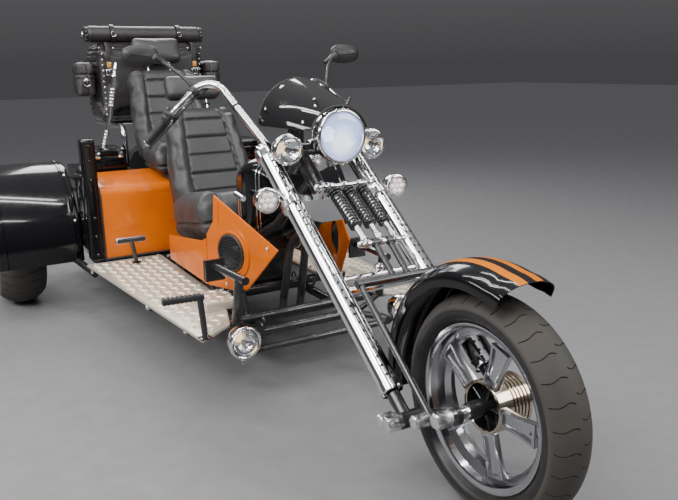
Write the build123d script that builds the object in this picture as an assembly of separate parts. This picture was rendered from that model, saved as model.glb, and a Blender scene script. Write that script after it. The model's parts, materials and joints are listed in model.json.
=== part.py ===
from build123d import *
from math import cos, sin, radians
import os

# Motorized trike: a long raked springer fork, tandem seats and a rear engine.
# Millimetres, +X forward, +Y to the trike's left, +Z up, origin on the floor
# under the middle of the overall box.

# Overall sizes
wheelbase = 2750
rear_overhang = 619
rear_track = 1700
front_tyre_radius = 311
front_tyre_width = 135
rear_tyre_radius = 318
rear_tyre_width = 215
running_gap = 0.3

overall_length = front_tyre_radius + wheelbase + rear_overhang
front_axle_x = overall_length / 2 - front_tyre_radius
rear_axle_x = front_axle_x - wheelbase
tail_x = -overall_length / 2
engine_rear_x = tail_x + 139

# Front wheel
rim_bead_radius = 218
rim_flange_radius = 230
front_rim_half = 50
rim_wall = 7
rim_well = 22
front_hub_width = 176
hub_sleeve_radius = 24
spoke_count = 5
spoke_foot = 24
spoke_tip = 32
spoke_thickness = 22
axle_radius = 10
drum_radius = 74
drum_face_y = -34
drum_recess_radius = 64
drum_recess_depth = 40
drum_end_y = 84
drum_rib_count = 5
drum_rib_pitch = 12
drum_rib_depth = 6

# Rear wheels
rear_rim_bead = 190
rear_rim_flange = 203
rear_hub_radius = 60
rear_hub_reach = 60
stub_radius = 20
axle_tube_radius = 38

# Springer fork, laid out along and across its legs
rake = 53
fork_length = 1190
leg_setback = 145
leg_y = 170
leg_radius = 20
cover_radius = 33
cover_length = 1020
steer_setback = 62
clamp_thickness = 26
upper_clamp_at = 40
lower_clamp_at = 280
stem_radius = 14
neck_radius = 31
neck_gap = 1.5
neck_bore_gap = 0.5
bracket_y = 86
leg_bridge_at = 612

# Leading links at the wheel
rocker_y = 118
rocker_thickness = 16
rocker_height = 46
rocker_tail = 250
rocker_slope = 23
leg_pivot_back = leg_setback / cos(radians(rake - rocker_slope))
rod_pivot_back = 78
rod_radius = 10
inner_rod_y = 27
outer_rod_y = 150
rod_bridge_at = 700
nut_radius = 15

# Three spring units in front of the legs
spring_count = 3
spring_pitch = 55
spring_radius = 22
spring_core = 16
spring_lead = 15
spring_wire = 8
damper_radius = 10
eye_radius = 14
spring_shaft_radius = 8
upper_shaft_at = 282
upper_shaft_out = 77
lower_shaft_at = 558
lower_shaft_out = 96

# Handlebar
bar_radius = 15
grip_radius = 19
grip_length = 126
mirror_width = 168
mirror_height = 92

# Lamps
headlight_radius = 88
headlight_depth = 120
fog_radius = 56
lamp_bar_at = 112
lamp_bar_out = 74
# distance behind the front axle, side, height, radius, depth
lamp_table = [(850, 165, 925, 50, 58), (827, 258, 767, 40, 62)]

# Flyscreen sections: distance behind the front axle, half width, half height, middle height
screen_base = 992
screen_table = [
    (792, 112, 106, screen_base - 30), (930, 148, 140, screen_base - 20),
    (1092, 165, 172, screen_base - 10),
]
screen_wall = 4
screen_height = 300

# Front fender
front_fender_radius = 378
fender_half_width = 94
fender_skirt = 66
fender_front_angle = 68
fender_back_angle = 196

# Frame tubes
frame_tube = 19
rail_y = 210

# Floor boards
board_top = 290
board_thickness = 14
# distance behind the front axle, distance from the middle
board_outline = [(926, 478), (2178, 606), (2178, 246), (1500, 246), (1180, 288), (1028, 336)]

pedal_back = 1210

# Floor rails, under cross tubes that carry the boards
rail_z = board_top - board_thickness - 3 * frame_tube
rail_front_back = 1040
rail_rear_back = wheelbase + rear_overhang - 79
cross_back = [1070, 1215, 1560, 1900, 2300, rail_rear_back - 32]
# distance behind the front axle, half length
outrigger_table = [(1130, 470), (1480, 510), (2350, 540), (2150, 585)]

# Side panels: outline as distance back along the panel, height
panel_turn = 18
panel_thickness = 8
speaker_radius = 76
gap_fit = 0.3
panel_outline = [
    (0, 546), (358, 715), (370, 609), (415, 550), (418, 452), (418, 338), (240, 345), (180, 360)
]

# Tank: distance behind the front axle, half width, low, high, corner radius
tank_table = [
    (1205, 84, 610, 806, 40), (1330, 128, 518, 842, 60), (1440, 120, 480, 800, 60),
]

# Seats
headrest_width = 270
headrest_gap = 22
seat_thickness = 116
seat_corner = 56
cushion_rounding = 42
pan_wall = 10
pan_height = 300
base_half_width = 130
# name, front and rear of the cushion behind the front axle, low, high, width, tilt of the whole
# seat, recline, height of the back, its widths at the top, middle and foot, headrest height
seat_table = [
    ("front", 1440, 1896, 512, 677, 520, 10, 15, 640, (330, 432, 372), 130),
    ("rear", 2190, 2507, 682, 800, 450, 0, 24, 540, (380, 450, 410), 150),
]

# Rear body
panel_back = 2180
panel_half_width = 515
panel_wall = 12
column_width = 65
column_top = 880
shelf_height = 690
shelf_length = 700
shelf_cut = 272
rack_top = 906
rack_tube = 16
rack_reach = rear_overhang - 59
rack_y = 250
strap_wall = 6
strap_hole_y = 80
strap_hole_radius = 4.5
strap_hole_inset = 48
trunk_back = wheelbase + 320
trunk_length = 310
trunk_half_width = 315
trunk_top = 1332
roll_radius = 52
roll_half_width = 350
pouch_length = 140
pouch_low = 1040
pouch_top = 1236
pouch_width = 109
tail_lamp_rise = 102
tail_lamp_radius = 48
bumper_height = 380
bumper_half_width = 420
fender_radius = 404
fender_wall = 6


def behind(distance):
    """X of a station this far behind the front axle."""
    return front_axle_x - distance


nodes = {}

# Unit directions in the raked fork: down the legs, and square to them, forward and up.
down_leg = Vector(sin(radians(rake)), 0, -cos(radians(rake)))
off_leg = Vector(cos(radians(rake)), 0, sin(radians(rake)))
leg_top = (
    Vector(front_axle_x, 0, front_tyre_radius)
    - down_leg * fork_length
    - off_leg * leg_setback
)


def fork_point(along, out, y=0):
    """Point down the legs from their top, out in front of them, at this Y."""
    return leg_top + down_leg * along + off_leg * out + Vector(0, y, 0)


def rod(start, end, radius):
    """Round bar from one point to another."""
    start = Vector(*start)
    end = Vector(*end)
    length = (end - start).length
    return Plane(origin=start, z_dir=end - start) * Cylinder(
        radius, length, align=(Align.CENTER, Align.CENTER, Align.MIN)
    )


def bent_bar(points, bends, radius):
    """Round bar along straight runs joined by arcs."""
    path = FilletPolyline(*points, radius=bends)
    section = Plane(origin=path @ 0, z_dir=path % 0) * Circle(radius)
    return sweep(section, path=path)


def both_sides(shape):
    """A right-hand piece and its mirror image on the left."""
    return [shape, mirror(shape, about=Plane.XZ)]


def right(x, y, z):
    """Point on the trike's right side, with y as its distance from the middle."""
    return Vector(x, -y, z)


def block(x_range, y_range, z_range):
    """Box between two limits on each axis."""
    size = [abs(limits[1] - limits[0]) for limits in (x_range, y_range, z_range)]
    middle = [(limits[1] + limits[0]) / 2 for limits in (x_range, y_range, z_range)]
    return Pos(*middle) * Box(*size)


def softened(shape, radius):
    """The shape with all its edges rounded."""
    return fillet(shape.edges(), radius)


def turned(profile_points, origin, axis):
    """Solid of revolution: points are (radius, distance along the axis)."""
    outline = make_face(Polyline(*[(r, 0, a) for r, a in profile_points], close=True))
    body = revolve(outline, axis=Axis.Z)
    return Plane(origin=origin, z_dir=axis) * body


def tyre(radius, width, bead_radius, flange_radius, rim_half, centre):
    """Road tyre: round tread, bulged walls and beads seated in the rim's flanges."""
    half = width / 2
    bead_half = rim_half - 12
    shoulder = radius - 0.24 * width
    wall_start = flange_radius + 2.5
    wall_half = rim_half - 5
    wall = 12
    crown = ThreePointArc((shoulder, -half), (radius, 0), (shoulder, half))
    upper_wall = ThreePointArc(
        (shoulder, half), ((shoulder + wall_start) / 2, half + 3), (wall_start, wall_half)
    )
    inside = Polyline(
        (wall_start, wall_half),
        (flange_radius, rim_half - 6),
        (bead_radius, bead_half),
        (bead_radius, bead_half - wall),
        (shoulder - wall, half - wall - 4),
        (radius - wall, 0),
        (shoulder - wall, -half + wall + 4),
        (bead_radius, -bead_half + wall),
        (bead_radius, -bead_half),
        (flange_radius, -rim_half + 6),
        (wall_start, -wall_half),
    )
    lower_wall = ThreePointArc(
        (wall_start, -wall_half), ((shoulder + wall_start) / 2, -half - 3), (shoulder, -half)
    )
    section = make_face([crown, upper_wall, inside, lower_wall])
    return Pos(*centre) * revolve(section, axis=Axis.Y)


def rim(bead_radius, flange_radius, half_width, centre):
    """Rim barrel with a dropped middle and a flange at each edge."""
    well = bead_radius - rim_well
    profile = [
        (flange_radius, half_width),
        (flange_radius, half_width - 6),
        (bead_radius, half_width - 12),
        (bead_radius, half_width - 30),
        (well, half_width - 42),
        (well, -half_width + 42),
        (bead_radius, -half_width + 30),
        (bead_radius, -half_width + 12),
        (flange_radius, -half_width + 6),
        (flange_radius, -half_width),
        (bead_radius - rim_wall, -half_width),
        (bead_radius - rim_wall, -half_width + 26),
        (well - rim_wall, -half_width + 38),
        (well - rim_wall, half_width - 38),
        (bead_radius - rim_wall, half_width - 26),
        (bead_radius - rim_wall, half_width),
    ]
    return turned(profile, centre, (0, -1, 0))


def star_spokes(inner_radius, outer_radius, centre, face_y):
    """Star spokes that widen to the rim, with their back faces at this Y."""
    spoke = Polyline(
        (inner_radius, -spoke_foot), (outer_radius, -spoke_tip),
        (outer_radius, spoke_tip), (inner_radius, spoke_foot),
        close=True,
    )
    blade = extrude(make_face(spoke), spoke_thickness)
    star = Part()
    for i in range(spoke_count):
        star += Rot(0, 0, 90 + 360 / spoke_count * i) * blade
    return Plane(origin=(centre[0], face_y, centre[2]), z_dir=(0, 1, 0)) * star


def build_front_wheel():
    centre = (front_axle_x, 0, front_tyre_radius)
    nodes["front_tyre"] = tyre(
        front_tyre_radius, front_tyre_width, rim_bead_radius, rim_flange_radius,
        front_rim_half, centre,
    )
    wheel = rim(rim_bead_radius, rim_flange_radius, front_rim_half, centre)
    wheel += axle_bar(front_hub_width / 2, hub_sleeve_radius)
    spoke_end = rim_bead_radius - rim_well - rim_wall / 2
    wheel += star_spokes(drum_radius - 4, spoke_end, centre, drum_face_y - 2)
    recess_end = drum_face_y + drum_recess_depth
    drum = [
        (0, recess_end), (drum_recess_radius, recess_end), (drum_recess_radius, drum_face_y),
        (drum_radius, drum_face_y),
    ]
    for i in range(drum_rib_count):
        at = recess_end + drum_rib_pitch * (i + 1)
        drum += [
            (drum_radius, at - drum_rib_pitch / 2), (drum_radius - drum_rib_depth, at - 4),
            (drum_radius - drum_rib_depth, at - 2), (drum_radius, at),
        ]
    drum += [(drum_radius, drum_end_y - 8), (drum_radius - 12, drum_end_y), (0, drum_end_y)]
    wheel += turned(drum, centre, (0, 1, 0))
    nodes["front_wheel"] = wheel - axle_bar(front_hub_width, axle_radius + running_gap)


def axle_bar(half_length, radius):
    """Round bar across the front wheel's centre."""
    return rod(
        (front_axle_x, -half_length, front_tyre_radius),
        (front_axle_x, half_length, front_tyre_radius),
        radius,
    )


def build_rear_wheels():
    for name, side in (("right", -1), ("left", 1)):
        middle_y = side * rear_track / 2
        centre = (rear_axle_x, middle_y, rear_tyre_radius)
        half = rear_tyre_width / 2 - 14
        nodes[f"rear_tyre_{name}"] = tyre(
            rear_tyre_radius, rear_tyre_width, rear_rim_bead, rear_rim_flange, half, centre
        )
        wheel = rim(rear_rim_bead, rear_rim_flange, half, centre)
        spoke_end = rear_rim_bead - rim_well - rim_wall / 2
        face_y = middle_y + side * 24 - spoke_thickness / 2
        wheel += star_spokes(rear_hub_radius - 6, spoke_end, centre, face_y)
        hub_inner = (centre[0], middle_y - side * rear_hub_reach, centre[2])
        hub_outer = (centre[0], middle_y + side * 46, centre[2])
        wheel += rod(hub_inner, hub_outer, rear_hub_radius)
        wheel -= rod(hub_inner, (centre[0], middle_y + side * 30, centre[2]),
                     stub_radius + running_gap)
        nodes[f"rear_wheel_{name}"] = wheel


def rocker_point(back, y):
    """Point on a leading link, this far behind the front axle along the link."""
    slope = radians(rocker_slope)
    return Vector(
        front_axle_x - back * cos(slope), y, front_tyre_radius - back * sin(slope)
    )


def build_fork_legs():
    """Chrome leg covers, and the black sliders that end in pivot eyes."""
    covers = []
    sliders = []
    for side in (-1, 1):
        y = side * leg_y
        top = fork_point(0, 0, y)
        cover_end = fork_point(cover_length, 0, y)
        covers.append(rod(top, cover_end, cover_radius))
        pivot = rocker_point(leg_pivot_back, 0)
        slider = rod(cover_end, pivot + Vector(0, y, 0), leg_radius)
        inner = side * (rocker_y + rocker_thickness)
        outer = side * (leg_y + leg_radius + 2)
        slider += rod(pivot + Vector(0, inner, 0), pivot + Vector(0, outer, 0), leg_radius + 4)
        slider += rod(
            pivot + Vector(0, outer, 0), pivot + Vector(0, outer + side * 14, 0), nut_radius
        )
        sliders.append(slider)
    nodes["fork_legs"] = covers
    nodes["fork_sliders"] = sliders


def clamp(at):
    """Yoke plate that joins both legs to the steering stem."""
    plane = Plane(
        origin=fork_point(at - clamp_thickness / 2, 0), x_dir=(0, 1, 0), z_dir=down_leg
    )
    ear = cover_radius + 9
    stem_edge = steer_setback + neck_radius
    outline = make_face(Polyline(
        (-leg_y, ear - 12), (leg_y, ear - 12), (leg_y, -ear + 8),
        (neck_radius + 8, -stem_edge), (-neck_radius - 8, -stem_edge), (-leg_y, -ear + 8),
        close=True,
    ))
    for side in (-1, 1):
        outline += Pos(side * leg_y, 0) * Circle(ear)
    plate = plane * extrude(outline, clamp_thickness)
    for side in (-1, 1):
        plate -= rod(
            fork_point(at - 60, 0, side * leg_y), fork_point(at + 60, 0, side * leg_y),
            cover_radius,
        )
    return plate


def build_fork_clamps():
    """Upper and lower yokes, the stem between them and the spring bracket."""
    yokes = clamp(upper_clamp_at) + clamp(lower_clamp_at)
    yokes += rod(
        fork_point(upper_clamp_at, -steer_setback),
        fork_point(lower_clamp_at, -steer_setback),
        stem_radius,
    )
    for side in (-1, 1):
        ear_plane = Plane(
            origin=fork_point(lower_clamp_at, upper_shaft_out / 2 + 8, side * bracket_y),
            x_dir=off_leg, z_dir=(0, 1, 0),
        )
        yokes += ear_plane * Box(upper_shaft_out + 16, clamp_thickness, 12)
    nodes["fork_clamps"] = yokes - upper_shaft()


def upper_shaft():
    """Cross shaft that holds the springs' upper eyes."""
    half = bracket_y + 18
    return rod(
        fork_point(upper_shaft_at, upper_shaft_out, -half),
        fork_point(upper_shaft_at, upper_shaft_out, half),
        spring_shaft_radius,
    )


def lower_shaft():
    """Cross shaft that holds the springs' lower eyes."""
    half = spring_pitch + 24
    return rod(
        fork_point(lower_shaft_at, lower_shaft_out, -half),
        fork_point(lower_shaft_at, lower_shaft_out, half),
        spring_shaft_radius,
    )


def build_springs():
    """Black coil units on chrome rods, side by side between the two shafts."""
    start = fork_point(upper_shaft_at, upper_shaft_out)
    end = fork_point(lower_shaft_at, lower_shaft_out)
    span = (end - start).length
    coil_start = 26
    coil_length = 0.60 * span
    turns = int(coil_length / spring_lead)
    profile = [(0, 0), (eye_radius, 0), (eye_radius, coil_start - 6), (spring_radius, coil_start - 6)]
    for i in range(turns):
        at = coil_start + spring_lead * i
        profile += [
            (spring_radius, at), (spring_radius, at + spring_wire),
            (spring_core, at + spring_wire), (spring_core, at + spring_lead),
        ]
    coil_end = coil_start + spring_lead * turns
    profile += [
        (spring_radius, coil_end), (spring_radius, coil_end + 8),
        (damper_radius, coil_end + 8), (damper_radius, span), (0, span),
    ]
    units = []
    for i in range(spring_count):
        shift = Vector(0, spring_pitch * (i - (spring_count - 1) / 2), 0)
        unit = turned(profile, start + shift, end - start)
        unit += rod(
            end + shift - Vector(0, 12, 0), end + shift + Vector(0, 12, 0), eye_radius
        )
        units.append(unit - upper_shaft() - lower_shaft())
    nodes["fork_springs"] = units


def build_fork_rods():
    """Thin rods from the lower spring shaft down to the leading links."""
    bridge_out = lower_shaft_out - 4
    reach = outer_rod_y + rod_radius + 4
    bridge = rod(
        fork_point(rod_bridge_at, bridge_out, -reach), fork_point(rod_bridge_at, bridge_out, reach),
        rod_radius + 3,
    )
    pieces = [bridge]
    for side in (-1, 1):
        eye = fork_point(lower_shaft_at, lower_shaft_out, side * inner_rod_y)
        inner = rod(eye, fork_point(rod_bridge_at, bridge_out, side * inner_rod_y), rod_radius)
        inner += rod(eye - Vector(0, 11, 0), eye + Vector(0, 11, 0), eye_radius)
        pieces.append(inner - bridge - lower_shaft())
        pivot = rocker_point(rod_pivot_back, 0)
        near = pivot + Vector(0, side * (rocker_y + rocker_thickness), 0)
        far = pivot + Vector(0, side * (outer_rod_y + rod_radius + 3), 0)
        top = fork_point(rod_bridge_at, bridge_out, side * outer_rod_y)
        outer = rod(top, pivot + Vector(0, side * outer_rod_y, 0), rod_radius)
        outer += rod(near, far, nut_radius)
        outer += rod(far, far + Vector(0, side * 12, 0), nut_radius - 4)
        pieces.append(outer - bridge)
    nodes["fork_rods"] = pieces


def build_fork_bridges():
    """Cross bars between the two legs, and the steering damper's ball."""
    bars = []
    for at, radius in ((leg_bridge_at, 9), (leg_bridge_at + 45, 14)):
        bar = rod(fork_point(at, 0, -leg_y), fork_point(at, 0, leg_y), radius)
        for cover in nodes["fork_legs"]:
            bar -= cover
        bars.append(bar)
    ball = fork_point(leg_bridge_at - 14, 14)
    bars[0] += Pos(*ball) * Sphere(16)
    nodes["fork_bridges"] = bars + [upper_shaft(), lower_shaft()]


def build_rockers():
    """Leading links that carry the axle in front of the legs."""
    plane = Plane(
        origin=rocker_point(0, -rocker_y),
        x_dir=rocker_point(1, 0) - rocker_point(0, 0),
        z_dir=(0, -1, 0),
    )
    outline = Pos(rocker_tail / 2, 0) * Rectangle(rocker_tail, rocker_height - 14)
    for back, radius in (
        (0, rocker_height / 2 + 3), (rod_pivot_back, rocker_height / 2 - 3),
        (leg_pivot_back, rocker_height / 2), (rocker_tail, rocker_height / 2 - 5),
    ):
        outline += Pos(back, 0) * Circle(radius)
    link = plane * extrude(outline, rocker_thickness)
    nodes["fork_rockers"] = nodes["fork_sliders"] + both_sides(
        link - axle_bar(2 * rocker_y, axle_radius)
    )
    del nodes["fork_sliders"]
    tail = rod(
        rocker_point(rocker_tail, -rocker_y - rocker_thickness),
        rocker_point(rocker_tail, -rocker_y - rocker_thickness - 46),
        nut_radius,
    )
    reach = rocker_y + rocker_thickness
    axle = axle_bar(reach + 4, axle_radius)
    for side in (-1, 1):
        axle += rod(
            (front_axle_x, side * (front_hub_width / 2 + 1), front_tyre_radius),
            (front_axle_x, side * rocker_y, front_tyre_radius),
            axle_radius + 9,
        )
        axle += rod(
            (front_axle_x, side * reach, front_tyre_radius),
            (front_axle_x, side * (reach + 26), front_tyre_radius),
            nut_radius + 3,
        )
    nodes["front_axle"] = [axle] + both_sides(tail)


def build_handlebar():
    """Tall swept bar on two risers, with its grips, levers and mirrors."""
    half = [
        right(behind(1095), 0, 900), right(behind(1095), 118, 900),
        right(behind(1410), 212, 1172), right(behind(1400), 372, 1036),
        right(behind(1500), 450, 918),
    ]
    other = [Vector(p.X, -p.Y, p.Z) for p in half]
    route = list(reversed(half[1:])) + other[1:]
    bar = bent_bar(route, [60, 75, 40, 40, 75, 60], bar_radius)
    for side in (-1, 1):
        foot = fork_point(upper_clamp_at - clamp_thickness / 2, -44, side * 55)
        bar += rod(foot, Vector(half[0].X, side * 55, half[0].Z), bar_radius + 2)
    bar -= nodes["fork_clamps"]
    nodes["handlebar"] = bar
    along = (half[4] - half[3]).normalized()
    grip_start = half[4] - along * grip_length
    grip = rod(grip_start, half[4] + along * 12, grip_radius) - bar
    housing = rod(grip_start - along * 42, grip_start - along * 2, grip_radius + 10) - bar
    lever_root = grip_start - along * 22
    lever = bent_bar(
        [
            lever_root + Vector(20, 0, -6), lever_root + Vector(64, -12, -22),
            lever_root + along * 165 + Vector(58, -6, -6),
        ],
        [20], 5.5,
    )
    controls = housing + (lever - bar)
    nodes["grips"] = both_sides(grip)
    nodes["hand_controls"] = both_sides(controls)
    root = half[3] + (half[2] - half[3]).normalized() * 70
    head_centre = right(behind(1512), 452, 1244)
    stem_end = head_centre + Vector(0, 62, -14)
    arm = rod(root, stem_end, 6) - bar
    head = Plane(origin=head_centre + Vector(-14, 0, 0), z_dir=(1, 0, 0), x_dir=(0, 1, 0)) * (
        extrude(RectangleRounded(mirror_width, mirror_height, mirror_height / 2 - 3), 30)
    )
    head = fillet(head.faces().sort_by(Axis.X)[-1].edges(), 12)
    nodes["mirrors"] = both_sides(head + arm)


def lamp(radius, depth, centre):
    """Round lamp facing forward: a bucket with a ring, and its glass."""
    bucket = turned(
        [
            (0, -depth), (0.45 * radius, -0.97 * depth), (0.82 * radius, -0.76 * depth),
            (radius, -0.42 * depth), (radius, -6), (radius + 4, -4), (radius + 4, 6),
            (radius - 6, 8), (radius - 6, -4), (0, -4),
        ],
        centre, (1, 0, 0),
    )
    glass = turned(
        [
            (0, -4), (radius - 6, -4), (radius - 6, 3), (0.7 * radius, 8),
            (0.4 * radius, 11), (0, 12),
        ],
        centre, (1, 0, 0),
    )
    return bucket, glass


def build_lamps():
    """Headlight, two spot lamps and two small lamps on the fork, with their bar."""
    glasses = []
    head, glass = lamp(headlight_radius, headlight_depth, (behind(776), 0, 966))
    glasses.append(glass)
    small = []
    for x, y, z, radius, depth in lamp_table:
        for side in (-1, 1):
            bucket, glass = lamp(radius, depth, (behind(x), side * y, z))
            small.append(bucket)
            glasses.append(glass)
    frame = rod(
        fork_point(lamp_bar_at, lamp_bar_out, -160), fork_point(lamp_bar_at, lamp_bar_out, 160), 9
    )
    for side in (-1, 1):
        frame += rod(
            fork_point(lamp_bar_at, lamp_bar_out, side * bracket_y),
            fork_point(lower_clamp_at - clamp_thickness / 2, lamp_bar_out - 6, side * bracket_y),
            7,
        )
        stub_x, stub_z = behind(lamp_table[1][0]) - 26, lamp_table[1][2]
        frame += rod(
            (stub_x, side * leg_y, stub_z), (stub_x, side * lamp_table[1][1], stub_z), 9
        )
    frame += rod(fork_point(lamp_bar_at, lamp_bar_out), (behind(862), 0, 950), 14)
    for piece in small + [head] + nodes["fork_legs"] + [nodes["fork_clamps"]]:
        frame -= piece
    nodes["headlight"] = head
    nodes["spot_lamps"] = small
    nodes["lamp_glass"] = glasses
    nodes["lamp_bar"] = frame


def build_flyscreen():
    """Smoked screen that wraps over the headlight."""
    outer = []
    inner = []
    for back, half_width, half_height, middle_z in screen_table:
        plane = Plane(origin=(behind(back), 0, middle_z), x_dir=(0, 1, 0), z_dir=(-1, 0, 0))
        outer.append(plane * Ellipse(half_width, half_height))
        inner.append(plane * Ellipse(half_width - screen_wall, half_height - screen_wall))
    shell = loft(outer) - loft(inner)
    front_back, rear_back = screen_table[0][0], screen_table[-1][0]
    widest = screen_table[-1][1]
    shell &= block(
        (behind(rear_back) - 1, behind(front_back) + 1), (-widest, widest),
        (screen_base, screen_base + screen_height),
    )
    nodes["flyscreen"] = shell
    stays = []
    for side in (-1, 1):
        stay = rod((behind(836), side * 40, 1030), (behind(836), side * 70, 1090), 5)
        stays.append(stay - shell - nodes["headlight"])
    nodes["lamp_bar"] = [nodes["lamp_bar"]] + stays


def build_front_fender():
    """Crowned fender that follows the tyre, cut off at a flared front lip."""
    half = fender_half_width
    crown = front_fender_radius

    def face(inset):
        r = crown - inset
        h = half - inset
        return make_face([
            ThreePointArc((r - 26, -h), (r, 0), (r - 26, h)),
            Line((r - 26, h), (crown - fender_skirt, h)),
            Line((crown - fender_skirt, h), (crown - fender_skirt, -h)),
            Line((crown - fender_skirt, -h), (r - 26, -h)),
        ])

    section = face(0) - face(fender_wall)
    sweep_angle = fender_back_angle - fender_front_angle
    shell = Rot(0, -fender_front_angle, 0) * revolve(section, axis=Axis.Y, revolution_arc=-sweep_angle)
    shell = Pos(front_axle_x - 20, 0, front_tyre_radius + 15) * shell
    mounts = []
    for side in (-1, 1):
        post = rod(fork_point(868, 0, side * (half - 4)), fork_point(868, 0, side * leg_y), 10)
        mounts.append(post - shell - nodes["fork_legs"][0] - nodes["fork_legs"][1])
    nodes["front_fender"] = [shell] + mounts


def build_frame():
    """Neck, upper and down tubes, floor rails and their cross members."""
    neck_start = upper_clamp_at + clamp_thickness / 2 + neck_gap
    neck_end = lower_clamp_at - clamp_thickness / 2 - neck_gap
    start = fork_point(neck_start, -steer_setback)
    end = fork_point(neck_end, -steer_setback)
    neck = rod(start, end, neck_radius)
    bore = rod(start - down_leg * 9, end + down_leg * 9, stem_radius + neck_bore_gap)
    upper = []
    down = []
    high = fork_point(neck_start + 60, -steer_setback)
    low = fork_point(neck_end - 34, -steer_setback)
    for side in (-1, 1):
        upper.append(bent_bar(
            [
                high + Vector(0, side * 8, 0), Vector(behind(1180), side * 62, 600),
                Vector(behind(1450), side * 155, 436), Vector(behind(1960), side * 155, 366),
                Vector(behind(2020), side * 165, rail_z),
            ],
            [60, 90, 70], frame_tube,
        ))
        down.append(bent_bar(
            [
                low + Vector(0, side * 8, 0), Vector(behind(1130), side * 34, 520),
                Vector(behind(1215), side * 40, rail_z),
            ],
            [80], frame_tube - 3,
        ))
    trunk_tubes = neck
    for tube in upper + down:
        trunk_tubes += tube
    trunk_tubes -= bore
    rails = []
    for side in (-1, 1):
        rails.append(rod(
            (behind(rail_front_back), side * rail_y, rail_z),
            (behind(rail_rear_back), side * rail_y, rail_z), frame_tube,
        ))
    bars = []
    for back in cross_back:
        bar = rod((behind(back), -rail_y, rail_z), (behind(back), rail_y, rail_z), frame_tube)
        bars.append(bar - rails[0] - rails[1])
    for bar in bars:
        trunk_tubes -= bar
    for rail in rails:
        trunk_tubes -= rail
    nodes["frame_neck"] = trunk_tubes
    nodes["fuel_tank"] -= trunk_tubes
    nodes["frame_rails"] = rails
    for back, reach in outrigger_table:
        z = rail_z + 2 * frame_tube
        bars.append(rod((behind(back), -reach, z), (behind(back), reach, z), frame_tube))
    nodes["frame_cross_members"] = bars


def build_footboards():
    """Chequer-plate floor boards with a turned-down edge and a toe ramp."""
    outline = make_face(Polyline(*[(behind(x), -y) for x, y in board_outline], close=True))
    plate = Pos(0, 0, board_top - board_thickness) * extrude(outline, board_thickness)
    ramp = Pos(behind(1270), -305, board_top) * Box(
        170, 130, 34, align=(Align.CENTER, Align.CENTER, Align.MIN)
    )
    nodes["footboards"] = both_sides(plate + ramp)
    board = nodes["footboards"][0]
    pegs = rod(right(behind(2077), 393, board_top), right(behind(2045), 418, 410), 10)
    pegs += rod(right(behind(2045), 355, 412), right(behind(2045), 485, 412), 12)
    post = rod(right(behind(928), 466, board_top), right(behind(940), 474, 436), 11)
    post += rod(right(behind(940), 460, 440), right(behind(955), 600, 440), 13)
    pedal = rod(right(behind(1030), 312, board_top), right(behind(995), 306, 462), 17)
    pedal += rod(right(behind(950), 300, 464), right(behind(pedal_back), 318, 462), 15)
    pedal += Pos(behind(pedal_back), -318, 448) * Box(14, 76, 84)
    pedal += rod(right(behind(1026), 312, board_top + 4), right(behind(1050), 214, rail_z + 6), 11)
    for rail in nodes["frame_rails"]:
        pedal -= rail
    nodes["foot_controls"] = both_sides(pegs - board) + both_sides(pedal - board) + [post - board]


def build_side_panels():
    """Side shields beside the tank, each with a round speaker let in."""
    c, s = cos(radians(panel_turn)), sin(radians(panel_turn))
    plane = Plane(
        origin=right(behind(986), 154, 0), x_dir=(-c, -s, 0), z_dir=(-s, c, 0)
    )
    outline = make_face(Polyline(*panel_outline, close=True))
    opening = Pos(264, 497) * Circle(speaker_radius)
    leaf = plane * extrude(outline - opening, -panel_thickness)
    rear = block((behind(1880), behind(1385)), (-286, -286 + panel_thickness), (338, 452))
    nodes["side_panels"] = both_sides(leaf + rear)
    cone = turned(
        [
            (0, -26), (speaker_radius - 20, -26), (speaker_radius - gap_fit, -4),
            (speaker_radius - gap_fit, 8), (speaker_radius - 8, 8), (speaker_radius - 12, 2),
            (24, -8), (22, 2), (0, 6),
        ],
        plane.from_local_coords((264, 497, 0)), (s, -c, 0),
    )
    nodes["speakers"] = both_sides(cone)
    brackets = [
        rod(right(behind(1165), 200, rail_z + 14), right(behind(1165), 226, 366), 8),
        rod(right(behind(1420), 205, rail_z + 14), right(behind(1420), 274, 350), 8),
    ]
    trimmed = []
    for bracket in brackets:
        for piece in both_sides(bracket):
            for other in nodes["side_panels"] + nodes["frame_rails"]:
                piece -= other
            trimmed.append(piece)
    nodes["frame_cross_members"] += trimmed


def build_tank():
    """Tank between the neck and the front seat, with rounded shoulders."""
    sections = []
    for back, half_width, low, high, corner in tank_table:
        plane = Plane(
            origin=(behind(back), 0, (low + high) / 2), x_dir=(0, 1, 0), z_dir=(-1, 0, 0)
        )
        sections.append(plane * RectangleRounded(2 * half_width, high - low, corner))
    nodes["fuel_tank"] = loft(sections)


def seat_back(foot, lean, height, widths, headrest_height):
    """Reclined back cushion, widest above its foot, with its headrest on two posts."""
    tilt = radians(lean)
    plane = Plane(origin=foot, x_dir=(0, 1, 0), z_dir=(cos(tilt), 0, sin(tilt)))
    top, middle, base = [width / 2 for width in widths]
    outline = make_face(Polyline(
        (-base, 0), (base, 0), (middle, 0.3 * height), (middle - 6, 0.55 * height), (top, height),
        (-top, height), (-middle + 6, 0.55 * height), (-middle, 0.3 * height), close=True,
    ))
    outline = fillet(outline.vertices(), seat_corner)
    back = Pos(0, 0, -seat_thickness / 2) * extrude(outline, seat_thickness)
    faces = back.faces().sort_by(Axis.Z)
    back = fillet(faces[0].edges() + faces[-1].edges(), seat_thickness / 2 - 24)
    at = height + headrest_gap + headrest_height / 2
    headrest = Pos(0, at, 0) * softened(
        Box(headrest_width, headrest_height, seat_thickness - 24), 34
    )
    for side in (-1, 1):
        back += rod((side * 62, height - 20, 0), (side * 62, at, 0), 7)
    return plane * (back + headrest)


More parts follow.
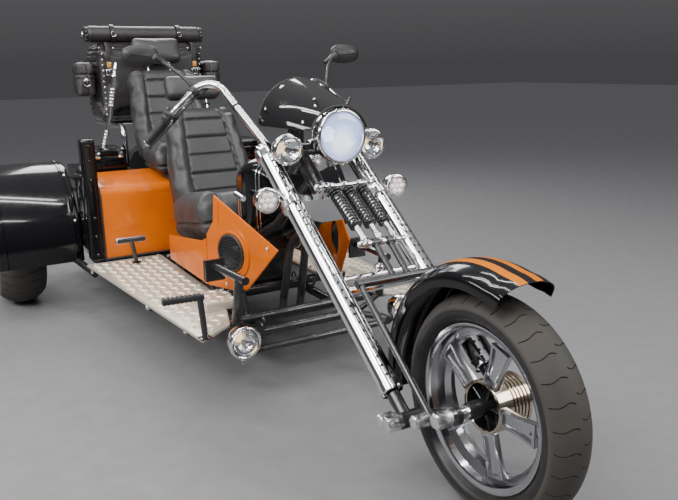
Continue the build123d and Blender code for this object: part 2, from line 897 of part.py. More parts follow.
def seat_pan(front_back, foot_back, low, lean, width):
    """Bent plate under a cushion and up behind its back."""
    tilt = radians(lean)
    c, s = cos(tilt), sin(tilt)
    bend = foot_back + seat_thickness / 2 * c
    drop = pan_wall * (1 - s) / c
    profile = [
        (behind(front_back + 30), low), (behind(bend), low),
        (behind(bend + pan_height * s), low + pan_height * c),
        (behind(bend + pan_height * s + pan_wall * c), low + pan_height * c - pan_wall * s),
        (behind(bend + pan_wall * c - drop * s), low - pan_wall),
        (behind(front_back + 30), low - pan_wall),
    ]
    outline = make_face(Plane.XZ * Polyline(*profile, close=True))
    return Pos(0, width / 2, 0) * extrude(outline, width)


def build_seats():
    """Two tandem seats on bent pans and plain bases."""
    bases = []
    floor = rail_z + frame_tube - 4
    for name, front_back, rear_back, low, high, width, tilt, lean, height, widths, rest in seat_table:
        turn = Pos(behind(front_back), 0, low) * Rot(0, -tilt, 0) * Pos(-behind(front_back), 0, -low)
        cushion = block((behind(rear_back), behind(front_back)), (-width / 2, width / 2), (low, high))
        nodes[f"{name}_seat_cushion"] = turn * softened(cushion, cushion_rounding)
        lift = seat_thickness / 2 * sin(radians(lean))
        foot_back = rear_back + seat_thickness / 2 + 6
        nodes[f"{name}_seat_back"] = turn * seat_back(
            (behind(foot_back), 0, low + lift), lean, height, widths, rest
        )
        base = block(
            (behind(rear_back - 40), behind(front_back + 60)),
            (-base_half_width, base_half_width), (floor, low),
        )
        base -= turn * block(
            (behind(rear_back + 100), behind(front_back)),
            (-width, width), (low - pan_wall, low + pan_height),
        )
        for bar in nodes["frame_cross_members"]:
            base -= bar
        bases.append(base + turn * seat_pan(front_back, foot_back, low, lean, width - 140))
    nodes["seat_bases"] = bases


def build_rear_body():
    """Orange front panel that rounds over into its deck, and the black shelf behind it."""
    top = shelf_height
    end = panel_back + shelf_length
    profile = [
        (behind(panel_back), 300), (behind(panel_back), top - 65), (behind(panel_back + 8), top - 46),
        (behind(panel_back + 28), top - 34), (behind(panel_back + 260), top),
        (behind(panel_back + 260), top - 14), (behind(panel_back + 30), top - 47),
        (behind(panel_back + 18), top - 54), (behind(panel_back + panel_wall), top - 66),
        (behind(panel_back + panel_wall), 300),
    ]
    outline = make_face(Plane.XZ * Polyline(*profile, close=True))
    shell = Pos(0, panel_half_width, 0) * extrude(outline, 2 * panel_half_width)
    shell -= block(
        (behind(end), behind(panel_back + panel_wall)), (-shelf_cut, shelf_cut), (top - 90, top + 10)
    )
    nodes["rear_body"] = [shell]
    column = block(
        (behind(panel_back + 70), behind(panel_back - 10)),
        (-panel_half_width - column_width, -panel_half_width), (296, column_top),
    )
    side = block(
        (behind(end), behind(panel_back + 70)),
        (-panel_half_width - 12, -panel_half_width), (250, top),
    )
    side -= rod(
        (rear_axle_x, -rear_track / 2, rear_tyre_radius), (rear_axle_x, 0, rear_tyre_radius),
        axle_tube_radius + 50,
    )
    shelf = block(
        (behind(end), behind(panel_back + 260)), (-panel_half_width, -shelf_cut), (top - 14, top)
    )
    shelf += block(
        (behind(panel_back + 540), behind(panel_back + 290)),
        (-panel_half_width + 40, -shelf_cut - 30), (top, top + 106),
    )
    wall = fillet(column.edges().filter_by(Axis.Z), 14) + side + shelf
    for other in nodes["rear_body"] + nodes["frame_cross_members"]:
        wall -= other
    nodes["rear_sides"] = both_sides(wall)


def build_rear_fenders():
    """Wide fenders over the rear wheels, with a splash panel in front."""
    inner_y = panel_half_width + column_width
    outer_y = rear_track / 2 + rear_tyre_width / 2 + 14
    outer = Circle(fender_radius) - Circle(fender_radius - fender_wall)
    upper = outer & (Pos(0, fender_radius / 2) * Rectangle(2 * fender_radius, fender_radius))
    wrap = Plane(origin=(rear_axle_x, -inner_y, rear_tyre_radius), x_dir=(1, 0, 0), z_dir=(0, -1, 0))
    shell = extrude(wrap * upper, outer_y - inner_y)
    shell += block(
        (rear_axle_x + fender_radius - fender_wall, rear_axle_x + fender_radius),
        (-outer_y, -inner_y - 90), (270, rear_tyre_radius),
    )
    lip = (Circle(fender_radius) - Circle(fender_radius - 26)) & (
        Pos(0, fender_radius / 2) * Rectangle(2 * fender_radius, fender_radius)
    )
    edge = Plane(origin=(rear_axle_x, -outer_y + 6, rear_tyre_radius), x_dir=(1, 0, 0), z_dir=(0, -1, 0))
    shell += extrude(edge * lip, 6)
    flange = block(
        (rear_axle_x + fender_radius - 60, behind(panel_back + 70)),
        (-inner_y, -panel_half_width - 12), (340, 700),
    )
    nodes["rear_fenders"] = both_sides(shell)
    nodes["rear_sides"] += both_sides(flange - shell)


def build_rear_axle():
    """Gearbox, axle tubes with stub axles, trailing arms and dampers."""
    gearbox = block(
        (rear_axle_x - 110, rear_axle_x + 150), (-150, 150), (rail_z + frame_tube, 440)
    )
    tube_end = rear_track / 2 - rear_hub_reach - 2
    axle = gearbox
    for side in (-1, 1):
        axle += rod(
            (rear_axle_x, side * 140, rear_tyre_radius),
            (rear_axle_x, side * tube_end, rear_tyre_radius), axle_tube_radius,
        )
        axle += rod(
            (rear_axle_x, side * (tube_end - 10), rear_tyre_radius),
            (rear_axle_x, side * tube_end, rear_tyre_radius), 66,
        )
        axle += rod(
            (rear_axle_x, side * tube_end, rear_tyre_radius),
            (rear_axle_x, side * (rear_track / 2 + 28), rear_tyre_radius), stub_radius,
        )
    reach = outrigger_table[-1][1]
    arm = rod(
        right(behind(outrigger_table[-1][0]), reach - 10, rail_z + frame_tube + 6),
        right(rear_axle_x + 20, 682, rear_tyre_radius - 6), 17,
    ) - axle
    for bar in nodes["frame_cross_members"]:
        arm -= bar
    nodes["rear_axle"] = [axle] + both_sides(arm)
    damper = turned(
        [(0, 0), (12, 0), (12, 60), (26, 62), (26, 190), (14, 192), (14, 300), (0, 300)],
        right(rear_axle_x + 150, 648, 314), (0, 0.06, 1),
    )
    nodes["rear_dampers"] = both_sides(damper - arm)


def build_engine():
    """Flat four-cylinder engine behind the axle, with finned barrels and cooling shroud."""
    case = block((engine_rear_x, rear_axle_x - 110), (-120, 120), (200, 470))
    nodes["engine_block"] = case
    barrels = []
    for side in (-1, 1):
        for ahead in (290, 110):
            start = (engine_rear_x + ahead, side * 120, 320)
            fins = [(0, 0)]
            for i in range(6):
                at = 18 * i
                fins += [(62, at), (62, at + 9), (52, at + 9), (52, at + 18)]
            fins += [(68, 108), (68, 190), (0, 190)]
            barrels.append(turned(fins, start, (0, side, 0)))
    plane = Plane(origin=(rear_axle_x - 160, 0, 470), x_dir=(0, -1, 0), z_dir=(-1, 0, 0))
    outline = make_face(Polyline(
        (-230, 0), (230, 0), (230, 120), (150, 250), (90, 285), (-90, 285),
        (-150, 250), (-230, 120), close=True,
    ))
    shroud = plane * extrude(outline, 120)
    ring = Plane(origin=(rear_axle_x - 280, 0, 610), z_dir=(-1, 0, 0)) * (
        extrude(Circle(118) - Circle(96), 18)
    )
    nodes["engine_shroud"] = shroud + ring
    pulley = turned(
        [(0, 0), (88, 0), (88, 8), (76, 12), (76, 18), (88, 22), (88, 30), (30, 30), (30, 44), (0, 44)],
        (engine_rear_x, 0, 330), (-1, 0, 0),
    )
    nodes["engine_cylinders"] = barrels + [pulley]


def build_exhausts():
    """Header pipes from each bank to a silencer and an upswept tip."""
    pipe = bent_bar(
        [
            right(engine_rear_x + 290, 262, 270), right(engine_rear_x + 290, 262, 176),
            right(engine_rear_x + 110, 290, 176), right(engine_rear_x, 300, 262),
        ],
        [40, 60], 21,
    )
    pipe += rod(right(engine_rear_x + 110, 284, 270), right(engine_rear_x + 110, 289, 180), 19)
    for barrel in nodes["engine_cylinders"]:
        pipe -= barrel
    muffler = rod(right(engine_rear_x + 10, 300, 262), right(tail_x + 10, 300, 262), 52)
    tip = rod(right(tail_x + 10, 300, 262), right(tail_x, 300, 262), 34)
    nodes["exhausts"] = both_sides(pipe + muffler + tip)


def build_rack():
    """Rear hoops that carry the luggage, and grab rails beside the rear seat."""
    posts = []
    for side in (-1, 1):
        posts.append(bent_bar(
            [
                Vector(rear_axle_x + 80, side * rail_y, rail_z),
                Vector(rear_axle_x + 74, side * rack_y, 520),
                Vector(rear_axle_x + 60, side * rack_y, rack_top - rack_tube),
                Vector(rear_axle_x - rack_reach, side * rack_y, rack_top - rack_tube),
            ],
            [80, 60], rack_tube,
        ))
    rack = posts[0] + posts[1]
    for rail in nodes["frame_rails"]:
        rack -= rail
    for back in (rack_reach - 260, rack_reach - 130, rack_reach - 5):
        rack += rod(
            (rear_axle_x - back, -rack_y, rack_top - rack_tube),
            (rear_axle_x - back, rack_y, rack_top - rack_tube), 12,
        )
    strip_x = rear_axle_x - rack_reach + strap_hole_inset
    strip = block(
        (strip_x - strap_hole_inset, strip_x + 19), (-200, 200), (rack_top - strap_wall, rack_top)
    )
    for side in (-1, 1):
        strip -= rod(
            (strip_x, side * strap_hole_y, rack_top - 3 * strap_wall),
            (strip_x, side * strap_hole_y, rack_top + 1), strap_hole_radius,
        )
    nodes["luggage_rack"] = rack + strip
    hoop = bent_bar(
        [
            right(behind(2660), 400, shelf_height - 8), right(behind(2620), 330, 960),
            right(behind(2590), 296, 1180), right(behind(2700), 262, 1215),
        ],
        [120, 40], 11,
    )
    for side_wall in nodes["rear_sides"]:
        hoop -= side_wall
    nodes["grab_rails"] = hoop


def build_luggage():
    """Studded leather trunk with a roll bag on top and a pouch at each side."""
    front = trunk_back - trunk_length / 2
    trunk = block(
        (behind(front + trunk_length), behind(front)),
        (-trunk_half_width, trunk_half_width), (rack_top + gap_fit, trunk_top),
    )
    nodes["trunk"] = softened(trunk, 26)
    roll_back = trunk_back - 40
    roll = rod(
        (behind(roll_back), -roll_half_width, trunk_top + roll_radius),
        (behind(roll_back), roll_half_width, trunk_top + roll_radius), roll_radius,
    )
    nodes["roll_bag"] = softened(roll, 14)
    pouch_y = -trunk_half_width - gap_fit
    pouch = block(
        (behind(front + 15 + pouch_length), behind(front + 15)),
        (pouch_y - pouch_width, pouch_y), (pouch_low, pouch_top),
    )
    nodes["side_pouches"] = both_sides(softened(pouch, 22))


def build_tail():
    """Rear bumper bar and the tail lamps on the fenders."""
    outer = rear_track / 2
    bar_x = tail_x + 60
    bar = rod(
        (bar_x, -bumper_half_width, bumper_height), (bar_x, bumper_half_width, bumper_height), 18
    )
    for side in (-1, 1):
        bar += rod((bar_x, side * rail_y, bumper_height), (bar_x + 40, side * rail_y, rail_z), 14)
    for other in nodes["frame_rails"] + nodes["frame_cross_members"]:
        bar -= other
    nodes["rear_bumper"] = bar
    lamp_x = rear_axle_x - fender_radius
    lamp_z = rear_tyre_radius + tail_lamp_rise
    tail = rod(
        right(lamp_x + 2 * tail_lamp_radius, outer, lamp_z), right(lamp_x - 36, outer, lamp_z),
        tail_lamp_radius,
    )
    tail -= rod(
        (rear_axle_x, -outer - 2 * tail_lamp_radius, rear_tyre_radius), (rear_axle_x, 0, rear_tyre_radius),
        fender_radius,
    )
    nodes["tail_lamps"] = both_sides(tail)


def build_front_guard():
    """Bar in front of the floor rails, with its two fog lamps."""
    bar = bent_bar(
        [
            right(behind(1060), rail_y, rail_z), right(behind(960), 280, rail_z),
            right(behind(930), 300, rail_z - 10), right(behind(930), -300, rail_z - 10),
            right(behind(960), -280, rail_z), right(behind(1060), -rail_y, rail_z),
        ],
        [10, 8, 8, 10], 14,
    )
    for other in nodes["frame_rails"] + nodes["foot_controls"]:
        bar -= other
    bucket, glass = lamp(fog_radius, 74, right(behind(888), 338, 262))
    post = rod(right(behind(925), 292, rail_z - 8), right(behind(925), 330, 226), 9)
    post -= bucket
    post -= bar
    nodes["front_guard"] = [bar] + both_sides(post)
    nodes["fog_lamps"] = both_sides(bucket)
    nodes["fog_lamp_glass"] = both_sides(glass)


def build_gear_lever():
    """Lever beside the seat with a T handle."""
    lever = rod(right(behind(1330), 112, 510), right(behind(1330), 162, 510), 13)
    lever += rod(right(behind(1330), 152, 510), right(behind(1290), 168, 706), 8)
    lever += rod(right(behind(1330), 168, 708), right(behind(1255), 168, 700), 11)
    nodes["gear_lever"] = lever - nodes["frame_neck"]


build_front_wheel()
build_rear_wheels()
build_fork_legs()
build_fork_clamps()
build_springs()
build_fork_rods()
build_fork_bridges()
build_rockers()
build_handlebar()
build_lamps()
build_flyscreen()
build_front_fender()
build_tank()
build_frame()
build_footboards()
build_side_panels()
build_seats()
build_rear_body()
build_rear_fenders()
build_rear_axle()
build_engine()
build_exhausts()
build_rack()
build_luggage()
build_tail()
build_front_guard()
build_gear_lever()

os.makedirs("parts", exist_ok=True)
for name, shape in nodes.items():
    pieces = shape if isinstance(shape, list) else [shape]
    solids = [solid for piece in pieces for solid in piece.solids()]
    export_step(Compound(children=solids), f"parts/{name}.step")
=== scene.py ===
import json
from math import atan2, cos, hypot, pi, radians, sin, sqrt

import bpy
from mathutils import Matrix, Vector


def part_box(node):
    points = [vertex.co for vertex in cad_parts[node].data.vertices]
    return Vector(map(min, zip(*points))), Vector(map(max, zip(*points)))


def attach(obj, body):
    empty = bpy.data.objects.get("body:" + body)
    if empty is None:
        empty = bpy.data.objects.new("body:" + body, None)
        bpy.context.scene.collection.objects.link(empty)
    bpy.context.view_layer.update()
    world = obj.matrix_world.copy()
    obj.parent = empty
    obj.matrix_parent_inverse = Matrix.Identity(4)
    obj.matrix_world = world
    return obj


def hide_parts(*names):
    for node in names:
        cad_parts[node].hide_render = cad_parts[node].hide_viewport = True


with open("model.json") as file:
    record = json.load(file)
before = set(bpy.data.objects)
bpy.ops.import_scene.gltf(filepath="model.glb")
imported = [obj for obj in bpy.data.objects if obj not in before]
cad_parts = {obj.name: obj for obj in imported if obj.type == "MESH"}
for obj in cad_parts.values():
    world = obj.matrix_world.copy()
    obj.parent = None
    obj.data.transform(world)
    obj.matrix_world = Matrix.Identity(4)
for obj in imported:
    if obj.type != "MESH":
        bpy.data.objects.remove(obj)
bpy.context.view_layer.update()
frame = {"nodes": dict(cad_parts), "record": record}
nodes = frame["nodes"]

# Places on the trike, in metres
AXLE_X = 1.529
REAR_X = -1.221
AXLE_Z = 0.311
REAR_Z = 0.318
RAKE = radians(53)
DOWN = Vector((sin(RAKE), 0, -cos(RAKE)))
OFF = Vector((cos(RAKE), 0, sin(RAKE)))
LEG_LENGTH = 1.190
LEG_SETBACK = 0.145
LEG_TOP = Vector((AXLE_X, 0, AXLE_Z)) - DOWN * LEG_LENGTH - OFF * LEG_SETBACK
LEG_Y = 0.170
REAR_WHEEL_Y = 0.85


def behind(distance):
    return AXLE_X - distance


def fork_point(along, out, y=0.0):
    return LEG_TOP + DOWN * along + OFF * out + Vector((0, y, 0))


# Camera and light

PICTURE_WIDTH = 678
FOCAL_PIXELS = 730.79
SENSOR_WIDTH = 36
CAMERA_PLACE = (AXLE_X + 1.3545, -1.2431, 1.2010)
CAMERA_AHEAD = (-0.8642, 0.5031, 0)
CAMERA_PITCH = radians(14.059)
CAMERA_ROLL = radians(-0.909)


def build_camera():
    """Camera at the standing place in front of the trike's right side."""
    ahead = Vector(CAMERA_AHEAD).normalized()
    side = Vector((ahead.y, -ahead.x, 0))
    pitch, roll = CAMERA_PITCH, CAMERA_ROLL
    look = ahead * cos(pitch) - Vector((0, 0, sin(pitch)))
    rise = ahead * sin(pitch) + Vector((0, 0, cos(pitch)))
    x_axis = side * cos(roll) + rise * sin(roll)
    y_axis = rise * cos(roll) - side * sin(roll)
    data = bpy.data.cameras.new("camera")
    data.sensor_fit = "HORIZONTAL"
    data.sensor_width = SENSOR_WIDTH
    data.lens = SENSOR_WIDTH * FOCAL_PIXELS / PICTURE_WIDTH
    data.shift_x = -4 / PICTURE_WIDTH
    data.shift_y = -3 / PICTURE_WIDTH
    data.clip_start = 0.05
    camera = bpy.data.objects.new("camera", data)
    bpy.context.scene.collection.objects.link(camera)
    turn = Matrix((x_axis, y_axis, -look)).transposed().to_4x4()
    camera.matrix_world = Matrix.Translation(CAMERA_PLACE) @ turn
    bpy.context.scene.camera = camera


def area_light(name, place, target, size, power, colour=(1, 1, 1)):
    data = bpy.data.lights.new(name, "AREA")
    data.shape = "RECTANGLE"
    data.size, data.size_y = size
    data.energy = power
    data.color = colour
    lamp = bpy.data.objects.new(name, data)
    bpy.context.scene.collection.objects.link(lamp)
    aim = Vector(target) - Vector(place)
    lamp.matrix_world = Matrix.Translation(place) @ aim.to_track_quat("-Z", "Y").to_matrix().to_4x4()


def build_light():
    world = bpy.data.worlds.new("studio")
    bpy.context.scene.world = world
    world.use_nodes = True
    tree = world.node_tree
    back = tree.nodes["Background"]
    coord = tree.nodes.new("ShaderNodeTexCoord")
    split = tree.nodes.new("ShaderNodeSeparateXYZ")
    ramp = tree.nodes.new("ShaderNodeValToRGB")
    tree.links.new(coord.outputs["Generated"], split.inputs[0])
    tree.links.new(split.outputs["Z"], ramp.inputs[0])
    tree.links.new(ramp.outputs[0], back.inputs[0])
    stops = ramp.color_ramp.elements
    stops[0].position, stops[0].color = 0.0, (0.10, 0.10, 0.105, 1)
    stops[1].position, stops[1].color = 1.0, (0.85, 0.86, 0.88, 1)
    middle = stops.new(0.45)
    middle.color = (0.34, 0.34, 0.35, 1)
    back.inputs[1].default_value = 0.62
    area_light("key", (2.6, -3.2, 4.2), (0.2, 0, 0.5), (2.6, 1.6), 215)
    area_light("strip", (0.0, -3.6, 2.4), (0.0, 0, 0.5), (4.5, 0.5), 105)
    area_light("fill", (3.6, 2.6, 2.6), (0.4, 0, 0.5), (2.4, 1.8), 110)
    area_light("rear", (-3.8, 0.8, 3.2), (-0.8, 0, 0.6), (2.4, 1.6), 130)
    for number, (x, y) in enumerate(((1.2, -1.2), (0.2, -0.4), (-0.9, -1.0), (0.6, 1.2))):
        area_light(f"tube_{number}", (x, y, 3.1), (x + 0.3 * y, 0.6 * y, 0.5), (2.6, 0.05), 22)


def build_floor():
    bpy.ops.mesh.primitive_plane_add(size=1, location=(0, 0, -0.002))
    floor = bpy.context.object
    floor.name = "floor"
    floor.scale = (60, 60, 1)
    bpy.ops.object.transform_apply(location=True, rotation=True, scale=True)
    floor.data.materials.append(
        material("floor_grey", (0.20, 0.20, 0.205), 0.70, other=(0.186, 0.186, 0.19)))


# Finishes

def node_group(name, inputs, outputs):
    group = bpy.data.node_groups.new(name, "ShaderNodeTree")
    for label, kind, value in inputs:
        socket = group.interface.new_socket(label, in_out="INPUT", socket_type=kind)
        socket.default_value = value
    for label, kind in outputs:
        group.interface.new_socket(label, in_out="OUTPUT", socket_type=kind)
    start = group.nodes.new("NodeGroupInput")
    end = group.nodes.new("NodeGroupOutput")
    return group, start, end


def grain_group():
    """Fine uneven grain: a roughness that wanders between two values, a mask and a bump."""
    group, start, end = node_group(
        "grain",
        [("Scale", "NodeSocketFloat", 40), ("Low", "NodeSocketFloat", 0.2),
         ("High", "NodeSocketFloat", 0.4), ("Bump", "NodeSocketFloat", 0.1)],
        [("Roughness", "NodeSocketFloat"), ("Mask", "NodeSocketFloat"),
         ("Normal", "NodeSocketVector")],
    )
    new, link = group.nodes.new, group.links.new
    coord = new("ShaderNodeTexCoord")
    coarse = new("ShaderNodeTexNoise")
    coarse.inputs["Detail"].default_value = 4
    fine = new("ShaderNodeTexNoise")
    fine.inputs["Detail"].default_value = 3
    scale = new("ShaderNodeMath")
    scale.operation = "MULTIPLY"
    scale.inputs[1].default_value = 9
    spread = new("ShaderNodeMapRange")
    spread.inputs["From Min"].default_value = 0.3
    spread.inputs["From Max"].default_value = 0.7
    mask = new("ShaderNodeMapRange")
    mask.inputs["From Min"].default_value = 0.35
    mask.inputs["From Max"].default_value = 0.65
    bump = new("ShaderNodeBump")
    bump.inputs["Distance"].default_value = 0.0015
    link(coord.outputs["Object"], coarse.inputs["Vector"])
    link(coord.outputs["Object"], fine.inputs["Vector"])
    link(start.outputs["Scale"], coarse.inputs["Scale"])
    link(start.outputs["Scale"], scale.inputs[0])
    link(scale.outputs[0], fine.inputs["Scale"])
    link(coarse.outputs["Fac"], spread.inputs["Value"])
    link(start.outputs["Low"], spread.inputs["To Min"])
    link(start.outputs["High"], spread.inputs["To Max"])
    link(coarse.outputs["Fac"], mask.inputs["Value"])
    link(fine.outputs["Fac"], bump.inputs["Height"])
    link(start.outputs["Bump"], bump.inputs["Strength"])
    link(spread.outputs[0], end.inputs["Roughness"])
    link(mask.outputs[0], end.inputs["Mask"])
    link(bump.outputs[0], end.inputs["Normal"])
    return group


def hide_group():
    """Leather: pebbled cells with fine creases, as a bump, and a mask of the creases."""
    group, start, end = node_group(
        "hide",
        [("Scale", "NodeSocketFloat", 300), ("Bump", "NodeSocketFloat", 0.3)],
        [("Crease", "NodeSocketFloat"), ("Normal", "NodeSocketVector")],
    )
    new, link = group.nodes.new, group.links.new
    coord = new("ShaderNodeTexCoord")
    cells = new("ShaderNodeTexVoronoi")
    cells.feature = "DISTANCE_TO_EDGE"
    crease = new("ShaderNodeMapRange")
    crease.inputs["From Max"].default_value = 0.25
    bump = new("ShaderNodeBump")
    bump.inputs["Distance"].default_value = 0.0008
    link(coord.outputs["Object"], cells.inputs["Vector"])
    link(start.outputs["Scale"], cells.inputs["Scale"])
    link(cells.outputs["Distance"], crease.inputs["Value"])
    link(crease.outputs[0], bump.inputs["Height"])
    link(start.outputs["Bump"], bump.inputs["Strength"])
    link(crease.outputs[0], end.inputs["Crease"])
    link(bump.outputs[0], end.inputs["Normal"])
    return group


def mixed(tree, mask, first, second):
    """Colour that goes from first to second with a mask."""
    mix = tree.nodes.new("ShaderNodeMix")
    mix.data_type = "RGBA"
    mix.inputs["A"].default_value = (*first, 1)
    mix.inputs["B"].default_value = (*second, 1)
    tree.links.new(mask, mix.inputs["Factor"])
    return mix.outputs["Result"]


GROUPS = {"grain": grain_group(), "hide": hide_group()}


def placed_group(tree, name, **values):
    node = tree.nodes.new("ShaderNodeGroup")
    node.node_tree = GROUPS[name]
    for label, value in values.items():
        node.inputs[label].default_value = value
    return node


def material(name, colour, roughness, metal=0.0, other=None, scale=12, spread=0.08, bump=0.05,
             coat=0.0, hide=0.0, **plain):
    """Finish with wandering roughness, a second colour in patches and a fine bump."""
    made = bpy.data.materials.new(name)
    made.use_nodes = True
    tree = made.node_tree
    shader = tree.nodes["Principled BSDF"]
    grain = placed_group(
        tree, "grain", Scale=scale, Low=max(roughness - spread, 0.02), High=roughness + spread,
        Bump=bump)
    tree.links.new(grain.outputs["Roughness"], shader.inputs["Roughness"])
    other = other or tuple(0.82 * c for c in colour)
    tree.links.new(mixed(tree, grain.outputs["Mask"], colour, other), shader.inputs["Base Color"])
    if hide:
        pebble = placed_group(tree, "hide", Scale=hide, Bump=0.35)
        tree.links.new(pebble.outputs["Normal"], shader.inputs["Normal"])
    else:
        tree.links.new(grain.outputs["Normal"], shader.inputs["Normal"])
    shader.inputs["Metallic"].default_value = metal
    shader.inputs["Coat Weight"].default_value = coat
    shader.inputs["Coat Roughness"].default_value = 0.05
    for label, value in plain.items():
        shader.inputs[label.replace("_", " ").title().replace("Ior", "IOR")].default_value = value
    return made


build_camera()
build_light()

SKIN = {
    "black_frame": material("black_frame", (0.018, 0.018, 0.019), 0.30, coat=0.4, scale=25),
    "orange_paint": material("orange_paint", (0.68, 0.140, 0.0), 0.45, other=(0.60, 0.115, 0.0),
                             coat=0.4, scale=8, bump=0.02, specular_ior_level=0.1),
    "black_gloss": material("black_gloss", (0.004, 0.004, 0.005), 0.14, coat=0.5, spread=0.04,
                            bump=0.01, specular_ior_level=0.2),
    # The plate's own cream, held darker than the lugs' colour as painted shade between them.
    "plate": material("plate", (0.66, 0.60, 0.49), 0.36, metal=0.45, other=(0.54, 0.50, 0.42),
                      scale=14, bump=0.06),
    "chrome": material("chrome", (0.86, 0.86, 0.87), 0.07, metal=1.0, other=(0.80, 0.80, 0.81),
                       spread=0.025, bump=0.004, scale=6),
    "spring_black": material("spring_black", (0.015, 0.015, 0.016), 0.22, coat=0.6, scale=30),
    "black_plastic": material("black_plastic", (0.022, 0.022, 0.023), 0.46, scale=40, bump=0.12),
    "grip_rubber": material("grip_rubber", (0.016, 0.016, 0.016), 0.58, scale=60, bump=0.2),
    "smoked_screen": material("smoked_screen", (0.010, 0.009, 0.010), 0.10, coat=1.0, alpha=0.94,
                              bump=0.0, specular_ior_level=0.1),
    "seat_leather": material("seat_leather", (0.044, 0.042, 0.043), 0.38, hide=420,
                             other=(0.035, 0.034, 0.036)),
    "bag_leather": material("bag_leather", (0.022, 0.019, 0.020), 0.38, hide=360,
                            other=(0.030, 0.026, 0.026)),
    "engine_metal": material("engine_metal", (0.46, 0.46, 0.47), 0.48, metal=0.8, scale=30, bump=0.3),
    "lamp_glass": material("lamp_glass", (0.95, 0.97, 1.0), 0.03, transmission_weight=0.9,
                           alpha=0.45, bump=0.0),
    "tail_red": material("tail_red", (0.50, 0.008, 0.006), 0.12, coat=1.0, bump=0.02),
    "tyre": material("tyre", (0.040, 0.037, 0.033), 0.72, other=(0.055, 0.047, 0.040), scale=9,
                     bump=0.25),
    "wheel_metal": material("wheel_metal", (0.52, 0.52, 0.54), 0.16, metal=1.0, scale=10, bump=0.02),
}
build_floor()

for part in frame["record"]["subparts"]:
    cad = nodes[part["node"]]
    cad.data.materials.clear()
    cad.data.materials.append(SKIN[part["material_slot"]])


# Ways of making a piece

def begin():
    if bpy.context.mode != "OBJECT":
        bpy.ops.object.mode_set(mode="OBJECT")
    bpy.ops.object.select_all(action="DESELECT")


def only(piece):
    begin()
    piece.select_set(True)
    bpy.context.view_layer.objects.active = piece
    return piece


def edit(piece):
    only(piece)
    bpy.ops.object.mode_set(mode="EDIT")


def on_whole(piece, tool, **values):
    """Runs one mesh tool on all of the piece."""
    edit(piece)
    bpy.ops.mesh.select_all(action="SELECT")
    tool(**values)
    bpy.ops.object.mode_set(mode="OBJECT")
    return piece


def choose_faces(piece, test):
    """In edit mode, with just the faces whose middle and normal pass the test."""
    edit(piece)
    bpy.ops.mesh.select_mode(type="FACE")
    bpy.ops.mesh.select_all(action="DESELECT")
    bpy.ops.object.mode_set(mode="OBJECT")
    for face in piece.data.polygons:
        face.select = test(face.center, face.normal)
    bpy.ops.object.mode_set(mode="EDIT")


def choose_points(piece, test):
    edit(piece)
    bpy.ops.mesh.select_mode(type="VERT")
    bpy.ops.mesh.select_all(action="DESELECT")
    bpy.ops.object.mode_set(mode="OBJECT")
    for point in piece.data.vertices:
        point.select = test(point.co)
    bpy.ops.object.mode_set(mode="EDIT")


def settle(piece):
    only(piece)
    bpy.ops.object.transform_apply(location=True, rotation=True, scale=True)
    return piece


def placed(piece, place, axis=(0, 0, 1), up=None):
    """Stands the piece's Z along the axis, with its X towards up, at the place."""
    z = Vector(axis).normalized()
    x = Vector(up) if up is not None else z.orthogonal()
    x = (x - z * x.dot(z)).normalized()
    turn = Matrix((x, z.cross(x), z)).transposed().to_4x4()
    piece.matrix_world = Matrix.Translation(Vector(place)) @ turn
    return settle(piece)


def dress(piece, name, finish, body, *stands_for, angle=40):
    """Names a finished piece, gives it its finish and lets it ride on its body."""
    settle(piece)
    piece.name = name
    if finish is not None:
        piece.data.materials.clear()
        piece.data.materials.append(SKIN[finish])
    bpy.ops.object.shade_smooth_by_angle(angle=radians(angle))
    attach(piece, body)
    if stands_for:
        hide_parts(*stands_for)
    return piece


def joined(pieces):
    begin()
    for piece in pieces:
        piece.select_set(True)
    bpy.context.view_layer.objects.active = pieces[0]
    if len(pieces) > 1:
        bpy.ops.object.join()
    return bpy.context.object


def copied(piece, matrix=None):
    """A copy with its own mesh, moved by the matrix."""
    twin = piece.copy()
    twin.data = piece.data.copy()
    bpy.context.scene.collection.objects.link(twin)
    if matrix is not None:
        twin.data.transform(matrix)
    return twin


def mirrored(piece):
    """The piece's mirror image on the trike's other side, facing outwards."""
    twin = copied(piece, Matrix.Scale(-1, 4, Vector((0, 1, 0))))
    return on_whole(twin, bpy.ops.mesh.flip_normals)


def drawn_line(points, close=False):
    """An edge chain, one extrusion for each point after the first."""
    begin()
    bpy.ops.mesh.primitive_plane_add(size=0.002)
    piece = bpy.context.object
    bpy.ops.object.mode_set(mode="EDIT")
    bpy.ops.mesh.select_mode(type="VERT")
    bpy.ops.mesh.select_all(action="SELECT")
    bpy.ops.mesh.merge(type="CENTER")
    bpy.ops.transform.translate(value=points[0])
    for last, here in zip(points, points[1:]):
        step = [b - a for a, b in zip(last, here)]
        bpy.ops.mesh.extrude_region_move(TRANSFORM_OT_translate={"value": step})
    if close:
        bpy.ops.mesh.select_all(action="SELECT")
        bpy.ops.mesh.edge_face_add()
    return piece


def spun(profile, centre=(0, 0, 0), axis=(0, 0, 1), steps=64, turn=2 * pi, up=None):
    """A profile of (radius, height) points spun about the axis."""
    piece = drawn_line([(r, 0, h) for r, h in profile])
    bpy.ops.mesh.select_all(action="SELECT")
    bpy.ops.mesh.spin(steps=steps, angle=turn, center=(0, 0, 0), axis=(0, 0, 1))
    bpy.ops.mesh.select_all(action="SELECT")
    bpy.ops.mesh.remove_doubles(threshold=0.00002)
    bpy.ops.mesh.normals_make_consistent(inside=False)
    return placed(piece, centre, axis, up)


